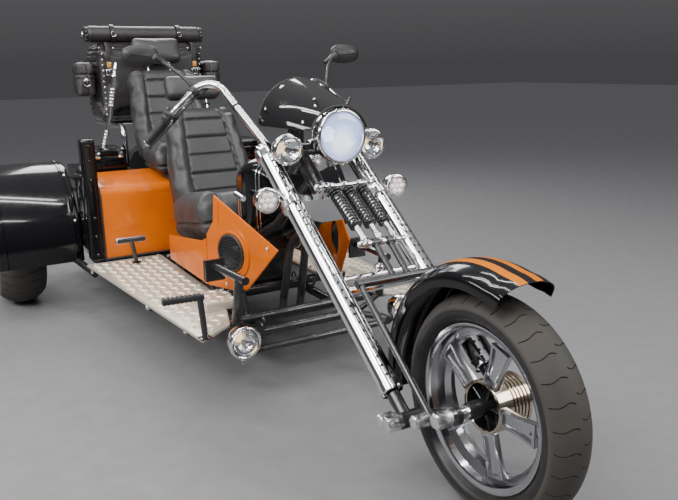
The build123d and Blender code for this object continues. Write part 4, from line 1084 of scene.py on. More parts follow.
def make_pedals():
    """Ribs on the front peg, a sleeve on the rear one, the ribbed pedal pad and the pegs' feet."""
    ribs = []
    low, high, radius = 0.476, 0.594, 0.0145
    for i in range(9):
        y = low + (high - low) * i / 8
        shift = (high - y) * 0.1
        ribs.append(spun(
            [(radius - 0.002, -0.0045), (radius, -0.003), (radius, 0.003), (radius - 0.002, 0.0045)],
            (behind(0.949 + 0.006 - shift), -y, 0.440), (0, 1, 0), 20))
    dress(joined(ribs), "peg_rubbers", "grip_rubber", "frame")
    sleeve = bar((behind(2.051), -0.352, 0.412), (behind(2.051), -0.488, 0.412), 0.0150, 28, 0.003)
    dress(sleeve, "peg_sleeve", "satin_chrome", "frame")
    face = [eased_box((behind(1.2215), -0.358, 0.408), (behind(1.2170), -0.278, 0.488), 0.0015)]
    for i in range(5):
        z = 0.418 + 0.0150 * i
        face.append(eased_box((behind(1.2250), -0.352, z), (behind(1.2205), -0.284, z + 0.006), 0.0012))
    dress(joined(face), "pedal_pad", "grip_rubber", "frame")
    half = 0.022
    feet = [
        eased_box((behind(x) - half, -y - half, BOARD_TOP),
                  (behind(x) + half, -y + half, BOARD_TOP + 0.005))
        for x, y in ((2.077, 0.393), (0.935, 0.464), (1.030, 0.312))
    ]
    dress(joined(feet), "peg_feet", "black_frame", "frame")


# Side panels and speakers

PANEL_TURN = radians(18)
PANEL_FOOT = Vector((behind(0.986), -0.154, 0))
PANEL_BACK = Vector((-cos(PANEL_TURN), -sin(PANEL_TURN), 0))
PANEL_OUT = Vector((sin(PANEL_TURN), -cos(PANEL_TURN), 0))
SPEAKER = (0.264, 0.497)
SPEAKER_RADIUS = 0.076
RIDGE_RADIUS = 0.102
PANEL = [
    (0, 0.546), (0.358, 0.715), (0.370, 0.609), (0.415, 0.550), (0.418, 0.452), (0.418, 0.338),
    (0.240, 0.345), (0.180, 0.360),
]


def on_panel(along, height, out=0.0):
    return PANEL_FOOT + PANEL_BACK * along + PANEL_OUT * out + Vector((0, 0, height))


def to_panel(piece):
    """Stands a piece drawn in XY, with Z outwards, on the right side panel's face."""
    turn = Matrix((PANEL_BACK, Vector((0, 0, 1)), -PANEL_OUT)).transposed().to_4x4()
    piece.data.transform(Matrix.Translation(PANEL_FOOT) @ turn)
    return on_whole(piece, bpy.ops.mesh.normals_make_consistent, inside=False)


def make_side_panels():
    """Pressed shields with a turned edge, a ridge round the speaker and its black opening."""
    leaf = plate(PANEL, 0.008, edge=0.003, segments=3)
    hole = bar((*SPEAKER, -0.02), (*SPEAKER, 0.03), SPEAKER_RADIUS - 0.001, 64, 0)
    applied(leaf, "BOOLEAN", operation="DIFFERENCE", object=hole, solver="EXACT")
    bpy.data.objects.remove(hole)
    to_panel(leaf)
    ridge = bent_pipe(
        [on_panel(SPEAKER[0] + RIDGE_RADIUS * cos(turn), SPEAKER[1] + RIDGE_RADIUS * sin(turn), -0.001)
         for turn in (radians(a) for a in range(118, 251, 12))], 0.0075, 12)
    crease = bent_pipe(
        [on_panel(0.332, 0.692, -0.003), on_panel(0.334, 0.640, -0.001),
         on_panel(0.338, 0.598, -0.003)], 0.0055, 12)
    rim = spun(
        [(SPEAKER_RADIUS - 0.001, -0.006), (SPEAKER_RADIUS - 0.001, 0.001),
         (SPEAKER_RADIUS + 0.003, 0.003), (SPEAKER_RADIUS + 0.008, 0.003),
         (SPEAKER_RADIUS + 0.012, 0.0)],
        on_panel(*SPEAKER), PANEL_OUT, 64)
    skirt_outline = [(1.880, 0.338), (1.385, 0.338), (1.385, 0.532), (1.440, 0.512), (1.880, 0.452)]
    skirt = plate([(behind(x), z) for x, z in skirt_outline], 0.008, edge=0.003, segments=3)
    skirt.data.transform(Matrix.Translation((0, -0.278, 0)) @ Matrix.Rotation(pi / 2, 4, "X"))
    panel = joined([leaf, ridge, crease, rim, skirt])
    other = mirrored(panel)
    dress(panel, "side_panel_right", "orange_paint", "frame", "side_panels", angle=35)
    dress(other, "side_panel_left", "orange_paint", "frame", angle=35)
    ring = spun(
        [(0.0755, -0.004), (0.0755, 0.0060), (0.0735, 0.0085), (0.0690, 0.0095), (0.0650, 0.0070),
         (0.0635, 0.0010), (0.052, -0.006), (0.030, -0.016), (0.026, -0.012), (0.016, -0.006),
         (0.0, -0.003)],
        on_panel(*SPEAKER), PANEL_OUT, 64)
    bars = [ring]
    for i in range(-5, 6):
        at = 0.0115 * i
        reach = sqrt(0.0645 ** 2 - at * at)
        bars.append(bar(
            on_panel(SPEAKER[0] + at, SPEAKER[1] - reach, 0.0035),
            on_panel(SPEAKER[0] + at, SPEAKER[1] + reach, 0.0035), 0.0013, 6, 0))
        bars.append(bar(
            on_panel(SPEAKER[0] - reach, SPEAKER[1] + at, 0.0050),
            on_panel(SPEAKER[0] + reach, SPEAKER[1] + at, 0.0050), 0.0013, 6, 0))
    speaker = joined(bars)
    other = mirrored(speaker)
    dress(speaker, "speaker_right", "black_plastic", "frame", "speakers", angle=40)
    dress(other, "speaker_left", "black_plastic", "frame", angle=40)
    studs = set_out(hex_nut(0.012, 0.005), [
        (on_panel(u, v, 0.002), PANEL_OUT) for u, v in ((0.055, 0.545), (0.30, 0.365), (0.205, 0.375))
    ])
    dress(joined([studs, mirrored(studs)]), "side_panel_studs", "chrome", "frame")


# Tank

def on_node(name, point, out=0.0):
    """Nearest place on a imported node's surface, moved out from it a little."""
    place, normal = nodes[name].closest_point_on_mesh(Vector(point))[1:3]
    return place + normal * out


def make_tank_trim():
    """Two bright lines round the tank's front edge, and its filler cap."""
    lines = []
    for back in (1.216, 1.238):
        ring = []
        for i in range(41):
            angle = radians(-128 + 256 * i / 40)
            ring.append(on_node(
                "fuel_tank", (behind(back), 0.30 * sin(angle), 0.70 + 0.30 * cos(angle)), 0.0008))
        ring = [Vector((behind(back), p.y, p.z)) for p in ring]
        lines.append(bent_pipe(ring, 0.0026, 8))
    filler = on_node("fuel_tank", (behind(1.345), 0, 1.0))
    cap = spun(
        [(0.034, -0.004), (0.034, 0.004), (0.038, 0.005), (0.038, 0.013), (0.035, 0.017),
         (0.020, 0.021), (0.0, 0.022)], filler, (0, 0, 1), 48)
    notches = set_out(
        bar((0, 0, -0.004), (0, 0, 0.004), 0.0028, 10),
        [(filler + Vector((0.0378 * cos(a), 0.0378 * sin(a), 0.009)), (0, 0, 1))
         for a in (2 * pi * i / 16 for i in range(16))])
    dress(joined(lines + [cap, notches]), "tank_trim", "chrome", "frame", angle=40)


# Handlebar fittings

BAR_BEND = Vector((behind(1.400), -0.372, 1.036))
BAR_END = Vector((behind(1.500), -0.450, 0.918))
BAR_ALONG = (BAR_END - BAR_BEND).normalized()
BAR_TOP = Vector((behind(1.410), -0.212, 1.172))


def make_grips():
    """Ribbed rubber grips between two collars, with bright ends."""
    start = BAR_END - BAR_ALONG * 0.126
    profile = [(0.0155, 0.0), (0.0225, 0.001), (0.0235, 0.004), (0.0225, 0.007), (0.0180, 0.009)]
    for i in range(16):
        at = 0.012 + 0.0066 * i
        profile += [(0.0176, at), (0.0188, at + 0.0016), (0.0188, at + 0.0040), (0.0176, at + 0.0054)]
    profile += [(0.0195, 0.121), (0.0200, 0.125), (0.0190, 0.128), (0.0155, 0.128)]
    grip = spun(profile, start, BAR_ALONG, 36)
    tip = spun(
        [(0.0160, 0.126), (0.0190, 0.128), (0.0195, 0.131), (0.0180, 0.136), (0.0120, 0.138),
         (0.0, 0.138)], start, BAR_ALONG, 36)
    dress(joined([grip, mirrored(grip)]), "grip_rubbers", "grip_rubber", "fork", "grips", angle=40)
    dress(joined([tip, mirrored(tip)]), "grip_ends", "chrome", "fork")


def make_hand_controls():
    """Switch housings with buttons, lever brackets and ball-ended levers."""
    root = BAR_END - BAR_ALONG * 0.148
    housing = spun(
        [(0.0155, -0.020), (0.0270, -0.020), (0.0290, -0.017), (0.0290, -0.002), (0.0275, 0.0),
         (0.0290, 0.002), (0.0290, 0.017), (0.0270, 0.020), (0.0155, 0.020)], root, BAR_ALONG, 32)
    buttons = []
    for i in (-1, 1):
        place = root + BAR_ALONG * (0.010 * i) - Vector((0.027, 0, 0))
        button = eased_box((-0.006, -0.005, -0.003), (0.006, 0.005, 0.005), 0.0012)
        buttons.append(placed(button, place, (-1, 0, 0), BAR_ALONG))
    ball = root + BAR_ALONG * 0.165 + Vector((0.058, -0.006, -0.006))
    lever = bent_pipe(
        [root + Vector((0.020, 0, -0.006)), root + Vector((0.062, -0.010, -0.018)),
         root + BAR_ALONG * 0.060 + Vector((0.066, -0.008, -0.016)), ball], 0.0052, 12)
    knob = spun(
        [(0.0, -0.008), (0.005, -0.0065), (0.0078, -0.002), (0.0078, 0.002), (0.005, 0.0065),
         (0.0, 0.008)], ball, BAR_ALONG, 20)
    bracket = placed(
        eased_box((-0.013, -0.012, -0.016), (0.030, 0.012, 0.016), 0.003), root, BAR_ALONG, (1, 0, 0))
    left_side = joined([housing, bracket] + buttons)
    dress(joined([left_side, mirrored(left_side)]), "switch_housings", "black_plastic", "fork",
          "hand_controls", angle=40)
    grip_lever = joined([lever, knob])
    dress(joined([grip_lever, mirrored(grip_lever)]), "hand_levers", "slider_black", "fork", angle=40)


def make_mirrors():
    """Tear-drop heads with a glass on the rider's side, on bent stems."""
    centre = Vector((behind(1.512), -0.452, 1.244))
    outline = []
    for i in range(40):
        angle = 2 * pi * i / 40
        width = 0.070 * abs(cos(angle)) ** 0.72 * (1 if cos(angle) > 0 else -1)
        height = 0.040 * abs(sin(angle)) ** 0.72 * (1 if sin(angle) > 0 else -1)
        outline.append((width, height * (1.0 - 1.6 * width if width > 0 else 1.0)))
    head = plate(outline, 0.014, edge=0.002)
    choose_faces(head, lambda c, n: n.z > 0.95)
    for thickness, rise in ((0.006, 0.006), (0.009, 0.005), (0.012, 0.003)):
        bpy.ops.mesh.inset(thickness=thickness, depth=rise)
    choose_faces(head, lambda c, n: n.z < -0.95)
    bpy.ops.mesh.inset(thickness=0.004, depth=0)
    bpy.ops.mesh.inset(thickness=0.001, depth=-0.003)
    bpy.ops.object.mode_set(mode="OBJECT")
    placed(head, centre - Vector((0.014, 0, 0)), (1, 0, 0), (0, -1, 0))
    glass = plate([(0.92 * x, 0.88 * y) for x, y in outline], 0.001, edge=0)
    placed(glass, centre - Vector((0.0125, 0, 0)), (1, 0, 0), (0, -1, 0))
    root = BAR_BEND + (BAR_TOP - BAR_BEND).normalized() * 0.110
    stem = bent_pipe(
        [root, root + Vector((0.004, -0.006, 0.030)), centre + Vector((0.004, 0.086, -0.026)),
         centre + Vector((0.0, 0.050, -0.006))], 0.0070, 12)
    neck_foot = centre + Vector((0.002, 0.048, -0.007))
    neck_end = centre + Vector((0.004, 0.106, -0.036))
    neck = spun(
        [(0.0, -0.008), (0.014, -0.006), (0.021, 0.002), (0.0195, 0.012), (0.014, 0.028),
         (0.0105, 0.044), (0.0085, 0.060), (0.0070, 0.066)], neck_foot, neck_end - neck_foot, 28)
    collar = spun(
        [(0.0158, -0.012), (0.0200, -0.012), (0.0215, -0.010), (0.0215, 0.010), (0.0200, 0.012),
         (0.0158, 0.012)], root, BAR_TOP - BAR_BEND, 28)
    heads = joined([head, stem, collar, neck])
    dress(joined([heads, mirrored(heads)]), "mirror_heads", "black_plastic", "fork",
          "mirrors", angle=40)
    dress(joined([glass, mirrored(glass)]), "mirror_glasses", "mirror_face", "fork")


def make_bar_fittings():
    """Riser clamps with their bolts, and the cable run tied along the bar."""
    clamps = []
    for sign in (-1, 1):
        place = Vector((behind(1.095), sign * 0.055, 0.900))
        clamps.append(spun(
            [(0.0152, -0.016), (0.0235, -0.016), (0.0250, -0.014), (0.0250, 0.014), (0.0235, 0.016),
             (0.0152, 0.016)], place, (0, 1, 0), 36))
        for dx in (-0.021, 0.021):
            nut = placed(hex_nut(0.012, 0.008), place + Vector((dx, 0, 0.016)), (0, 0, 1))
            clamps.append(nut)
    dress(joined(clamps), "riser_clamps", "chrome", "fork", angle=40)
    run = [
        BAR_END - BAR_ALONG * 0.165 + Vector((0.010, 0.0, -0.022)),
        BAR_BEND + Vector((0.014, 0.006, -0.018)),
        (BAR_BEND + BAR_TOP) / 2 + Vector((0.006, 0.012, -0.017)),
        BAR_TOP + Vector((0.022, 0.014, -0.030)),
        Vector((behind(1.28), -0.182, 1.040)), Vector((behind(1.13), -0.134, 0.912)),
        Vector((behind(1.080), -0.090, 0.878)), Vector((behind(1.066), -0.040, 0.872)),
    ]
    cable = bent_pipe(run, 0.0036, 10)
    ties = []
    for place, axis in (
        ((BAR_BEND + BAR_TOP) / 2, BAR_TOP - BAR_BEND),
        (Vector((behind(1.27), -0.170, 1.051)), Vector((-0.315, -0.094, 0.272))),
    ):
        ties.append(spun(
            [(0.0152, -0.004), (0.0172, -0.004), (0.0172, 0.004), (0.0152, 0.004)], place, axis, 24))
    harness = joined([cable] + ties)
    dress(joined([harness, mirrored(harness)]), "bar_cables", "grip_rubber", "fork", angle=40)


# Seats and bags

extra_skin("strap_leather", "bag_leather", material(
    "strap_leather", (0.016, 0.014, 0.014), 0.34, hide=600, other=(0.024, 0.021, 0.021)))
extra_skin("bag_metal", "bag_leather", material(
    "bag_metal", (0.78, 0.77, 0.75), 0.14, metal=1.0, scale=20))
extra_skin("amber_tab", "bag_leather", material(
    "amber_tab", (0.62, 0.30, 0.05), 0.22, other=(0.52, 0.24, 0.04), coat=0.8))


def merged_copy(name):
    """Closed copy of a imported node."""
    piece = copied(nodes[name])
    piece.data.materials.clear()
    piece.hide_render = False
    piece.hide_viewport = False
    return on_whole(piece, bpy.ops.mesh.remove_doubles, threshold=0.00002)


def evened(piece, voxel, shrink, lean=0.0):
    """The same form in even small faces that lie along its own lean, a little smaller."""
    piece.data.transform(Matrix.Rotation(lean, 4, "Y"))
    applied(piece, "REMESH", mode="VOXEL", voxel_size=voxel)
    piece.data.transform(Matrix.Rotation(-lean, 4, "Y"))
    return on_whole(piece, bpy.ops.transform.shrink_fatten, value=-shrink)


def swollen(piece, pressure, cap):
    """Swells a closed form under cloth pressure, no point by more than the cap."""
    before = [point.co.copy() for point in piece.data.vertices]
    only(piece)
    cloth = piece.modifiers.new("swell", "CLOTH")
    settings = cloth.settings
    settings.quality = 5
    settings.mass = 0.4
    settings.tension_stiffness = 14
    settings.compression_stiffness = 14
    settings.shear_stiffness = 6
    settings.bending_stiffness = 1.2
    settings.use_pressure = True
    settings.uniform_pressure_force = pressure
    settings.effector_weights.gravity = 0
    cloth.collision_settings.use_collision = False
    for number in range(1, 21):
        bpy.context.scene.frame_set(number)
    bpy.ops.object.modifier_apply(modifier=cloth.name)
    bpy.context.scene.frame_set(1)
    for point, start in zip(piece.data.vertices, before):
        moved = point.co - start
        if moved.length > cap:
            point.co = start + moved * (cap / moved.length)
    return piece


def eased(piece):
    """Irons out the small folds that the swelling leaves."""
    return applied(piece, "SMOOTH", factor=0.5, iterations=9)


def finer(piece):
    return applied(piece, "SUBSURF", levels=1, render_levels=1)


def pressed_in(piece, away_from_line, depth, width):
    """Draws the surface in near sewn lines, deepest on them."""
    for share in (1.0, 0.7, 0.4, 0.2):
        choose_points(piece, lambda p: away_from_line(p) < width * share)
        bpy.ops.transform.shrink_fatten(value=-depth / 4)
    bpy.ops.object.mode_set(mode="OBJECT")


class SeatFrame:
    """A seat's own directions: along its back or cushion, out of its face, and its foot."""

    def __init__(self, foot, lean):
        self.foot = Vector(foot)
        self.up = Vector((-sin(lean), 0, cos(lean)))
        self.out = Vector((cos(lean), 0, sin(lean)))

    def height(self, p):
        return (p - self.foot).dot(self.up)

    def front(self, p):
        return (p - self.foot).dot(self.out)

    def place(self, height, y, out):
        return self.foot + self.up * height + self.out * out + Vector((0, y, 0))


def part_of(piece, frame_of, low, high):
    """A closed copy of what lies between two heights."""
    part = copied(piece)
    choose_points(part, lambda p: not low < frame_of.height(p) < high)
    bpy.ops.mesh.delete(type="VERT")
    bpy.ops.mesh.select_all(action="SELECT")
    bpy.ops.mesh.fill_holes(sides=0)
    bpy.ops.object.mode_set(mode="OBJECT")
    return part


# Foot, lean and height of each back, and half the width between its bolsters at foot,
# middle and top
SEATS = {
    "front": ((behind(1.955), 0, 0.4365), radians(25), 0.640, (0.104, 0.122, 0.092)),
    "rear": ((behind(2.571), 0, 0.7056), radians(24), 0.540, (0.114, 0.130, 0.106)),
}
BACK_CHANNELS = {
    "front": (0.171, 0.262, 0.353, 0.444, 0.535),
    "rear": (0.147, 0.243, 0.339, 0.435),
}
WIDER = {"front": 1.07, "rear": 1.03}
HEADREST_POST_Y = 0.062


def seam_at(height, full, widths):
    share = max(0.0, min(1.0, height / full))
    if share < 0.4:
        return widths[0] + (widths[1] - widths[0]) * share / 0.4
    return widths[1] + (widths[2] - widths[1]) * (share - 0.4) / 0.6


def make_seat_back(name):
    """Back with raised side bolsters, channels sewn across its middle and a headrest of its own."""
    foot, lean, full, widths = SEATS[name]
    seat = SeatFrame(foot, lean)
    whole = merged_copy(f"{name}_seat_back")
    whole.data.transform(Matrix.Scale(WIDER[name], 4, Vector((0, 1, 0))))
    back = evened(part_of(whole, seat, -1.0, full + 0.010), 0.0085, 0.007, lean)
    rest = evened(part_of(whole, seat, full + 0.010, 2.0), 0.007, 0.007, lean)
    bpy.data.objects.remove(whole)
    for step in range(4):
        edge = 0.004 + 0.011 * step
        choose_points(back, lambda p: (
            seat.front(p) > 0.012 and seat.height(p) < full - 0.06
            and abs(p.y) > seam_at(seat.height(p), full, widths) + edge))
        bpy.ops.transform.translate(value=seat.out * 0.0062)
    bpy.ops.object.mode_set(mode="OBJECT")
    for piece in (back, rest):
        finer(eased(swollen(piece, 4.0, 0.024)))

    def line(p):
        if seat.front(p) < 0:
            return abs(seat.front(p) + 0.022)
        height = seat.height(p)
        seam = seam_at(height, full, widths)
        nearest = abs(abs(p.y) - seam)
        if abs(p.y) < seam:
            nearest = min([nearest] + [abs(height - at) for at in BACK_CHANNELS[name]])
        return nearest

    pressed_in(back, line, 0.011, 0.009)
    pressed_in(rest, lambda p: abs(seat.front(p) + 0.014), 0.006, 0.007)
    dress(back, f"{name}_seat_back_pad", "seat_leather", "frame", f"{name}_seat_back", angle=70)
    dress(rest, f"{name}_headrest", "seat_leather", "frame", angle=70)
    posts, collars = [], []
    for y in (-HEADREST_POST_Y, HEADREST_POST_Y):
        posts.append(bar(seat.place(full - 0.050, y, 0), seat.place(full + 0.070, y, 0), 0.0065, 16))
        collars.append(spun(
            [(0.0066, 0), (0.013, 0.001), (0.014, 0.004), (0.012, 0.008), (0.0066, 0.009)],
            seat.place(full - 0.004, y, 0), seat.up, 20))
    dress(joined(posts), f"{name}_headrest_posts", "bag_metal", "frame")
    dress(joined(collars), f"{name}_headrest_collars", "black_plastic", "frame")


def make_cushion(name, tilt):
    """Seat cushion with side bolsters, cross channels and a rolled front."""
    lowest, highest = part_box(f"{name}_seat_cushion")
    middle = (Vector(lowest) + Vector(highest)) / 2
    along = Vector((cos(tilt), 0, sin(tilt)))
    rise = Vector((-sin(tilt), 0, cos(tilt)))
    length = highest[0] - lowest[0]
    seam = (highest[1] - lowest[1]) / 2 - 0.100
    cushion = merged_copy(f"{name}_seat_cushion")
    cushion.data.transform(Matrix.Scale(WIDER[name], 4, Vector((0, 1, 0))))
    evened(cushion, 0.0085, 0.007, tilt)

    def up(p):
        return (p - middle).dot(rise)

    def ahead(p):
        return (p - middle).dot(along)

    for step in range(4):
        edge = 0.004 + 0.011 * step
        choose_points(cushion, lambda p: (
            up(p) > 0.012 and abs(p.y) > seam + edge and ahead(p) < 0.38 * length))
        bpy.ops.transform.translate(value=rise * 0.0055)
    bpy.ops.object.mode_set(mode="OBJECT")
    finer(eased(eased(swollen(cushion, 4.0, 0.026))))
    channels = [share * length for share in (-0.24, -0.08, 0.08, 0.24)]

    def line(p):
        beside, height, forward = abs(p.y), up(p), ahead(p)
        lower = abs(height + 0.018) if beside > seam or forward > 0.3 * length else 1.0
        if height < -0.012:
            return lower
        nearest = min(lower, abs(beside - seam))
        if beside < seam:
            nearest = min([nearest] + [abs(forward - at) for at in channels])
        return nearest

    pressed_in(cushion, line, 0.011, 0.009)
    dress(cushion, f"{name}_seat_cushion_pad", "seat_leather", "frame",
          f"{name}_seat_cushion", angle=70)


# The trunk and the roll bag strapped on it
TRUNK_FRONT = behind(2.915)
TRUNK_REAR = behind(3.225)
TRUNK_TOP = 1.332
STRAP_Y = 0.246
ROLL_X, ROLL_Z, ROLL_RADIUS = behind(3.030), 1.384, 0.052
ROLL_STRAP_Y = 0.19
POUCH_Y = 0.370
ROUND_LOOP = [2 * pi * i / 20 for i in range(21)]


def make_trunk():
    """Leather trunk with a lid line, stud columns, straps with buckles and gathered sides."""
    trunk = finer(swollen(evened(merged_copy("trunk"), 0.011, 0.010), 3.0, 0.016))
    creases = [0.945 + 0.036 * i for i in range(10)]

    def line(p):
        nearest = abs(p.z - 1.296)
        if p.x > TRUNK_FRONT - 0.02:
            nearest = min(nearest, abs(abs(p.y) - 0.296))
        if abs(p.y) > 0.300:
            nearest = min([nearest] + [1.4 * abs(p.z - at) for at in creases])
        return nearest

    pressed_in(trunk, line, 0.008, 0.009)
    dress(trunk, "trunk_leather", "bag_leather", "frame", "trunk", angle=70)
    face_x = TRUNK_FRONT + 0.004
    straps, studs, tabs = [], [], []
    for y in (-STRAP_Y, STRAP_Y):
        path = [
            (TRUNK_REAR + 0.06, y, TRUNK_TOP + 0.004), (TRUNK_FRONT - 0.02, y, TRUNK_TOP + 0.004),
            (face_x + 0.001, y, TRUNK_TOP - 0.022), (face_x + 0.003, y, 1.230),
            (face_x + 0.002, y, 1.120),
        ]
        for start, end in zip(path, path[1:]):
            start, end = Vector(start), Vector(end)
            length = (end - start).length
            strap = eased_box((-0.012, -0.0022, -0.002), (0.012, 0.0022, length + 0.002), 0.001)
            straps.append(placed(strap, start, end - start, (0, 1, 0)))
        buckle_x = face_x + 0.0085
        corners = [(-0.017, 1.160), (0.017, 1.160), (0.017, 1.192), (-0.017, 1.192), (-0.017, 1.160)]
        for (beside, low), (beyond, high) in zip(corners, corners[1:]):
            studs.append(bar((buckle_x, y + beside, low), (buckle_x, y + beyond, high), 0.0028, 10))
        studs.append(bar((buckle_x, y, 1.192), (buckle_x, y, 1.162), 0.0022, 10))
        tabs.append(eased_box((face_x + 0.004, y - 0.012, 1.202), (buckle_x, y + 0.012, 1.232), 0.002))
    dome = spun([(0.0056, 0), (0.0052, 0.0018), (0.0036, 0.0036), (0.0, 0.0044)], steps=16)
    places = []
    for y in (-0.279, 0.279):
        for i in range(12):
            places.append(((face_x + 0.0015, y, 0.945 + 0.030 * i), (1, 0, 0)))
    for y in (-0.292, -0.215, 0.215, 0.292):
        places.append(((face_x + 0.0005, y, 1.306), (1, 0, 0)))
    studs.append(set_out(dome, places))
    dress(joined(straps), "trunk_straps", "strap_leather", "frame", angle=40)
    dress(joined(studs), "trunk_studs_and_buckles", "bag_metal", "frame", angle=40)
    dress(joined(tabs), "trunk_tabs", "amber_tab", "frame", angle=40)


def make_roll_and_pouches():
    """Roll bag with gathered ends and two straps, and a round-cornered pouch on each side."""
    roll = finer(swollen(evened(merged_copy("roll_bag"), 0.008, 0.007), 3.0, 0.012))
    gathers = [Vector((cos(pi * i / 5), 0, sin(pi * i / 5))) for i in range(10)]

    def line(p):
        nearest = min(0.6 * abs(abs(p.y) - ROLL_STRAP_Y), abs(abs(p.y) - 0.322))
        if abs(p.y) > 0.325:
            spoke = Vector((p.x - ROLL_X, 0, p.z - ROLL_Z))
            for away in gathers:
                if away.dot(spoke) > 0:
                    nearest = min(nearest, away.cross(spoke).length)
        return nearest

    pressed_in(roll, line, 0.007, 0.008)
    dress(roll, "roll_bag_leather", "bag_leather", "frame", "roll_bag", angle=70)
    bands, rings = [], []
    for y in (-ROLL_STRAP_Y, ROLL_STRAP_Y):
        bands.append(spun(
            [(ROLL_RADIUS - 0.002, -0.011), (ROLL_RADIUS + 0.0015, -0.010),
             (ROLL_RADIUS + 0.0015, 0.010), (ROLL_RADIUS - 0.002, 0.011)],
            (ROLL_X, y, ROLL_Z), (0, 1, 0), 48))
        centre = Vector((ROLL_X + ROLL_RADIUS + 0.003, y, ROLL_Z))
        loop = [centre + Vector((0, 0.013 * cos(a), 0.013 * sin(a))) for a in ROUND_LOOP]
        rings.append(bent_pipe(loop, 0.0022, 8))
    dress(joined(bands), "roll_bag_straps", "strap_leather", "frame", angle=40)
    for sign in (-1, 1):
        rings.append(spun(
            [(0.0, 0.008), (0.007, 0.007), (0.012, 0.003), (0.013, -0.002), (0.006, -0.004)],
            (ROLL_X, sign * 0.349, ROLL_Z), (0, sign, 0), 24))
    dress(joined(rings), "roll_bag_fittings", "bag_metal", "frame", angle=40)
    pouches = finer(swollen(evened(merged_copy("side_pouches"), 0.008, 0.007), 4.0, 0.014))
    pressed_in(pouches, lambda p: min(abs(p.z - 1.165), abs(abs(p.y) - 0.358)), 0.007, 0.008)
    dress(pouches, "pouches_leather", "bag_leather", "frame", "side_pouches", angle=70)
    closers = []
    front_x = behind(2.930) + 0.006
    for y in (-POUCH_Y, POUCH_Y):
        closers.append(placed(
            spun([(0.013, 0), (0.0125, 0.003), (0.009, 0.006), (0.0, 0.0075)], steps=24),
            (front_x, y, 1.135), (1, 0, 0)))
        loop = [
            Vector((front_x + 0.002, y + 0.018 * sin(a), 1.122 - 0.020 * cos(a)))
            for a in ROUND_LOOP
        ]
        closers.append(bent_pipe(loop, 0.0022, 8))
    dress(joined(closers), "pouch_fittings", "bag_metal", "frame", angle=40)


# Rear body

def lifted_arc(x, z, radius, start, end, count):
    """Points (x, z) on an arc, angles in degrees from +X towards +Z."""
    turns = [radians(start + (end - start) * i / (count - 1)) for i in range(count)]
    return [(x + radius * cos(turn), z + radius * sin(turn)) for turn in turns]


PANEL_X = behind(2.180)
PANEL_HALF = 0.515
SEAT_GAP = 0.165
ROLLED_EDGE = lifted_arc(PANEL_X - 0.045, 0.606, 0.045, 0, 80, 9)


def make_rear_body():
    """Orange front panel whose top edge rolls over into the deck, with a black edge strip."""
    rows = [(PANEL_X, 0.300), (PANEL_X, 0.345), (PANEL_X, 0.600)] + ROLLED_EDGE
    rows += [(behind(2.330), 0.672), (behind(2.440), 0.690)]
    panel = drawn_line([(x, -PANEL_HALF, z) for x, z in rows])
    bpy.ops.mesh.select_all(action="SELECT")
    for step in (PANEL_HALF - SEAT_GAP, 2 * SEAT_GAP, PANEL_HALF - SEAT_GAP):
        bpy.ops.mesh.extrude_region_move(TRANSFORM_OT_translate={"value": (0, step, 0)})
    bpy.ops.mesh.select_all(action="SELECT")
    bpy.ops.mesh.normals_make_consistent(inside=False)
    bpy.ops.object.mode_set(mode="OBJECT")
    choose_faces(panel, lambda c, n: abs(c.y) < SEAT_GAP and c.z > 0.601)
    bpy.ops.mesh.delete(type="FACE")
    bpy.ops.mesh.select_all(action="SELECT")
    bpy.ops.mesh.normals_make_consistent(inside=False)
    bpy.ops.object.mode_set(mode="OBJECT")
    front = max(panel.data.polygons, key=lambda face: face.area)
    if front.normal.x < 0:
        on_whole(panel, bpy.ops.mesh.flip_normals)
    applied(panel, "SOLIDIFY", thickness=0.010, offset=-1)
    applied(panel, "BEVEL", width=0.002, segments=2, limit_method="ANGLE", angle_limit=radians(50))
    dress(panel, "rear_body_panel", "orange_paint", "frame", "rear_body", angle=35)
    strips = []
    for sign in (-1, 1):
        y = sign * (PANEL_HALF - 0.001)
        path = [(PANEL_X + 0.001, y, 0.302), (PANEL_X + 0.001, y, 0.45), (PANEL_X + 0.001, y, 0.590)]
        path += [(x + 0.001, y, z + 0.001) for x, z in ROLLED_EDGE]
        path += [(behind(2.330), y, 0.673), (behind(2.440), y, 0.691)]
        strips.append(bent_pipe(path, 0.0055, 8, 2))
    face_x = PANEL_X + 0.001
    strips.append(bar((face_x, -PANEL_HALF, 0.302), (face_x, PANEL_HALF, 0.302), 0.0055, 12, 0))
    for y in (-SEAT_GAP, SEAT_GAP):
        strips.append(bar((PANEL_X - 0.004, y, 0.604), (behind(2.440), y, 0.690), 0.004, 10, 0))
    dress(joined(strips), "rear_body_edge_strip", "black_plastic", "frame")


